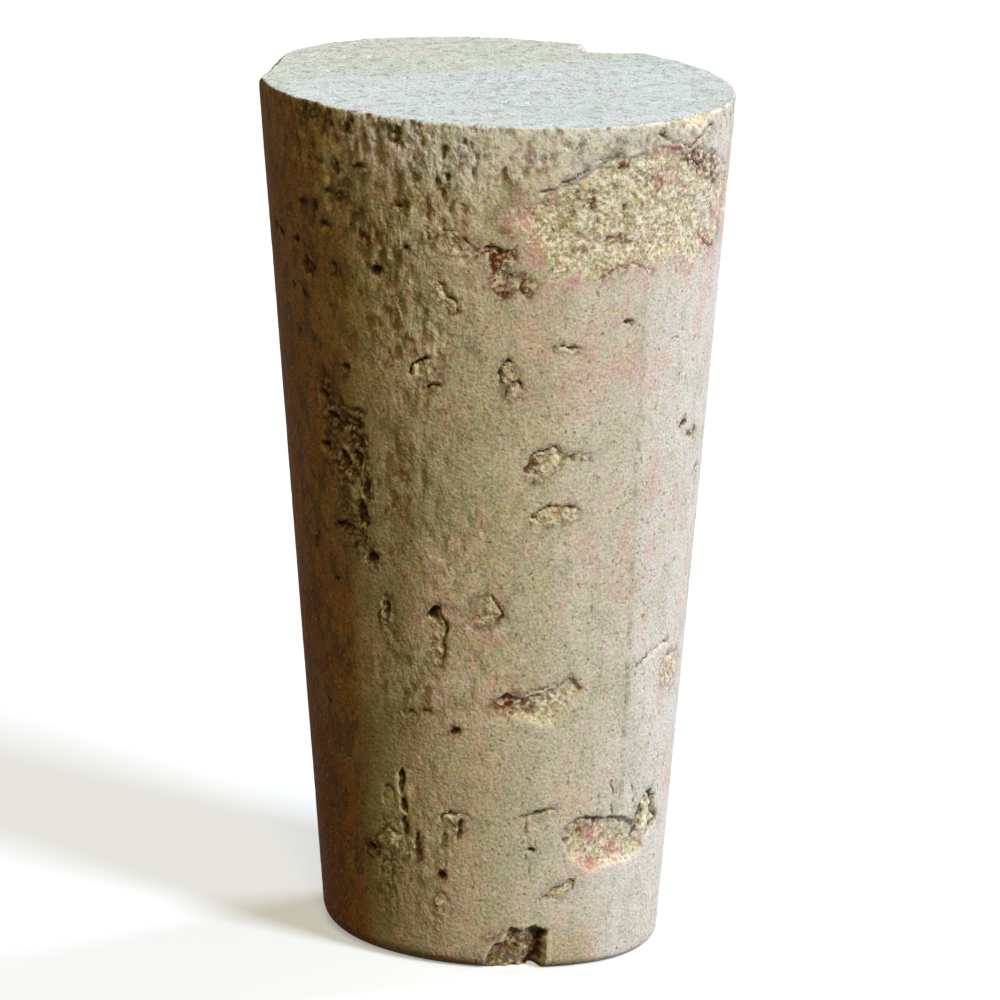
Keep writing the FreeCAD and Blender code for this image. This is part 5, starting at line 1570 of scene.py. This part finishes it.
    def mesh(self, points: np.ndarray, layers: Dict[str, np.ndarray]) -> bpy.types.Object:
        """Joins the grid into a closed mesh, stores the layers on it, and thins what is flat.

        Args:
            points: Points of the grid, in millimetres.
            layers: Values over the grid by the names of their attributes.

        Returns:
            The finished object.
        """
        rows, columns = points.shape[:2]
        poles = np.array([[0.0, 0.0, 0.0], [-self.blank.lean * self.blank.length, 0.0, self.blank.length]])
        places = np.concatenate([points.reshape(-1, 3), poles]) * MM
        index = np.arange(rows * columns).reshape(rows, columns)
        after = np.roll(index, -1, axis=1)
        quads = np.stack([index[:-1], after[:-1], after[1:], index[1:]], axis=-1).reshape(-1, 4)
        foot_pole, head_pole = rows * columns, rows * columns + 1
        foot_fan = np.stack([np.full(columns, foot_pole), after[0], index[0]], axis=-1)
        head_fan = np.stack([np.full(columns, head_pole), index[-1], after[-1]], axis=-1)
        corners = np.concatenate([quads.ravel(), foot_fan.ravel(), head_fan.ravel()])
        sizes = np.concatenate([np.full(len(quads), 4), np.full(2 * columns, 3)])
        starts = np.concatenate([[0], np.cumsum(sizes)[:-1]])
        mesh = bpy.data.meshes.new(PIECE)
        mesh.vertices.add(len(places))
        mesh.vertices.foreach_set("co", places.astype(np.float32).ravel())
        mesh.loops.add(len(corners))
        mesh.loops.foreach_set("vertex_index", corners.astype(np.int32))
        mesh.polygons.add(len(sizes))
        mesh.polygons.foreach_set("loop_start", starts.astype(np.int32))
        mesh.update(calc_edges=True)
        mesh.validate()
        for name, layer in layers.items():
            stored = mesh.attributes.new(name, "FLOAT", "POINT")
            ends = [layer[0].mean(), layer[-1].mean()]
            stored.data.foreach_set("value", np.concatenate([layer.ravel(), ends]).astype(np.float32))
        mesh.polygons.foreach_set("use_smooth", np.ones(len(mesh.polygons), bool))
        piece = bpy.data.objects.new(PIECE, mesh)
        bpy.context.scene.collection.objects.link(piece)
        thin = piece.modifiers.new("thin_flat_places", "DECIMATE")
        thin.ratio = self.triangles / (2.0 * len(quads) + 2.0 * columns)
        self.apply_modifiers(piece)
        piece.data.materials.append(self.finish.material(layers))
        return piece

    @staticmethod
    def apply_modifiers(piece: bpy.types.Object) -> None:
        """Replaces the piece's mesh by the one its modifiers give.

        Args:
            piece: The piece.
        """
        graph = bpy.context.evaluated_depsgraph_get()
        evaluated = piece.evaluated_get(graph)
        finished = bpy.data.meshes.new_from_object(evaluated, preserve_all_data_layers=True, depsgraph=graph)
        rough = piece.data
        piece.modifiers.clear()
        piece.data = finished
        bpy.data.meshes.remove(rough)
        finished.name = PIECE


class Lamp(Enum):
    """Soft lamps: bearing and elevation in degrees, distance and size in metres, watts, and colour."""

    KEY = (50.0, 31.0, 1.6, 0.45, 26.5, "#EAF4FF")
    RIM = (128.0, 28.0, 1.6, 0.60, 18.0, "#EDF6FF")
    FRONT = (-4.0, 45.0, 1.6, 0.40, 8.0, "#FFF29A")


@dataclass(frozen=True)
class Studio:
    """Floor, world, lamps and camera round the stopper."""

    target: Tuple[float, float, float] = (0.0, 0.0, 19.0 * MM)
    distance: float = 0.400
    elevation: float = 13.51
    roll: float = 2.77
    focal_pixels: float = 9120.0
    image_pixels: float = 1000.0
    centre_pixels: Tuple[float, float] = (510.4, 507.5)
    sensor_mm: float = 36.0
    floor_reach: float = 0.6
    floor_seen: str = "#E6EAF4"
    floor_lit: str = "#4A3A28"
    floor_glow: float = 0.36
    sky: str = "#FFBE98"
    sky_strength: float = 0.07

    def camera(self) -> bpy.types.Object:
        """Camera at the photograph's angle: a long lens, a little above, turned about its line of sight.

        Returns:
            The camera.
        """
        data = bpy.data.cameras.new("camera")
        data.sensor_width = self.sensor_mm
        data.lens = self.focal_pixels / self.image_pixels * self.sensor_mm
        data.shift_x = 0.5 - self.centre_pixels[0] / self.image_pixels
        data.shift_y = self.centre_pixels[1] / self.image_pixels - 0.5
        data.clip_start = 0.01
        camera = bpy.data.objects.new("camera", data)
        bpy.context.scene.collection.objects.link(camera)
        tilt = math.radians(self.elevation)
        back = Vector((0.0, -math.cos(tilt), math.sin(tilt)))
        look = (-back).to_track_quat("-Z", "Y").to_matrix()
        turned = look @ Matrix.Rotation(math.radians(self.roll), 3, "Z")
        camera.matrix_world = Matrix.Translation(Vector(self.target) + back * self.distance) @ turned.to_4x4()
        bpy.context.scene.camera = camera
        return camera

    def lamp(self, kind: Lamp) -> bpy.types.Object:
        """A square area lamp that faces the stopper.

        Args:
            kind: Which lamp.

        Returns:
            The lamp.
        """
        bearing, elevation, distance, size, watts, colour = kind.value
        data = bpy.data.lights.new("lamp_" + kind.name.lower(), "AREA")
        data.size = size
        data.energy = watts
        data.color = linear(colour)[:3]
        lamp = bpy.data.objects.new(data.name, data)
        bpy.context.scene.collection.objects.link(lamp)
        turn, tilt = math.radians(bearing), math.radians(elevation)
        way = Vector((math.sin(turn) * math.cos(tilt), -math.cos(turn) * math.cos(tilt), math.sin(tilt)))
        facing = (-way).to_track_quat("-Z", "Y").to_matrix().to_4x4()
        lamp.matrix_world = Matrix.Translation(Vector(self.target) + way * distance) @ facing
        return lamp

    @staticmethod
    def seen_share(tree: bpy.types.NodeTree) -> Socket:
        """1 for what the camera sees straight, in a gloss or through glass, and 0 for light on things.

        Args:
            tree: The node tree.

        Returns:
            The share's socket.
        """
        rays = shader_node(tree, "LightPath").outputs
        either = {"operation": "MAXIMUM"}
        straight, gloss, through = rays["Is Camera Ray"], rays["Is Glossy Ray"], rays["Is Transmission Ray"]
        first = shader_node(tree, "Math", either, in_0=straight, in_1=gloss).outputs[0]
        return shader_node(tree, "Math", either, in_0=first, in_1=through).outputs[0]

    def world(self) -> None:
        """White where it is seen, and a dim warm sky for the light that it gives."""
        world = bpy.data.worlds.new("studio")
        world.use_nodes = True
        tree = world.node_tree
        tree.nodes.clear()
        seen = self.seen_share(tree)
        sky = shader_node(tree, "Background", None, Color=linear(self.sky), Strength=self.sky_strength)
        white = shader_node(tree, "Background", None, Color=(1.0, 1.0, 1.0, 1.0), Strength=1.0)
        both = shader_node(tree, "MixShader", None, in_0=seen, in_1=sky.outputs[0], in_2=white.outputs[0])
        shader_node(tree, "OutputWorld", None, Surface=both.outputs[0])
        bpy.context.scene.world = world

    def floor(self) -> bpy.types.Object:
        """Level pale floor: seen white with the stopper's soft shadow, but dark for the light it throws back.

        Returns:
            The floor.
        """
        reach = self.floor_reach
        corners = [(-reach, -reach, 0), (reach, -reach, 0), (reach, reach, 0), (-reach, reach, 0)]
        mesh = bpy.data.meshes.new("floor")
        mesh.from_pydata(corners, [], [(0, 1, 2, 3)])
        floor = bpy.data.objects.new("floor", mesh)
        bpy.context.scene.collection.objects.link(floor)
        paper = bpy.data.materials.new("white_paper")
        paper.use_nodes = True
        tree = paper.node_tree
        tree.nodes.clear()
        seen = self.seen_share(tree)
        below, above = linear(self.floor_lit), linear(self.floor_seen)
        shade = shader_node(tree, "Mix", {"data_type": "RGBA"}, in_0=seen, in_6=below, in_7=above)
        matt = shader_node(tree, "BsdfDiffuse", None, Color=shade.outputs[2])
        glow_share = shader_node(tree, "Math", {"operation": "MULTIPLY"}, in_0=seen, in_1=self.floor_glow)
        glow = shader_node(tree, "Emission", None, Color=(1, 1, 1, 1), Strength=glow_share.outputs[0])
        lit = shader_node(tree, "AddShader", None, in_0=matt.outputs[0], in_1=glow.outputs[0])
        shader_node(tree, "OutputMaterial", None, Surface=lit.outputs[0])
        mesh.materials.append(paper)
        return floor

    def build(self) -> None:
        """Sets up the whole studio."""
        self.camera()
        self.world()
        self.floor()
        for kind in Lamp:
            self.lamp(kind)
        bpy.context.scene.view_settings.view_transform = "Standard"


def main() -> None:
    """Builds the studio, then the stopper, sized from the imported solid."""
    logging.basicConfig(level=logging.INFO, format="%(name)s %(message)s")
    low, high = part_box(NODE)
    Studio().build()
    LOG.info("studio ready")
    blank = Blank(length=(high[2] - low[2]) / MM, head_radius=-low[1] / MM)
    piece = Stopper(blank).build()
    LOG.info("%s: %d faces", piece.name, len(piece.data.polygons))


if __name__ == "__main__":
    main()
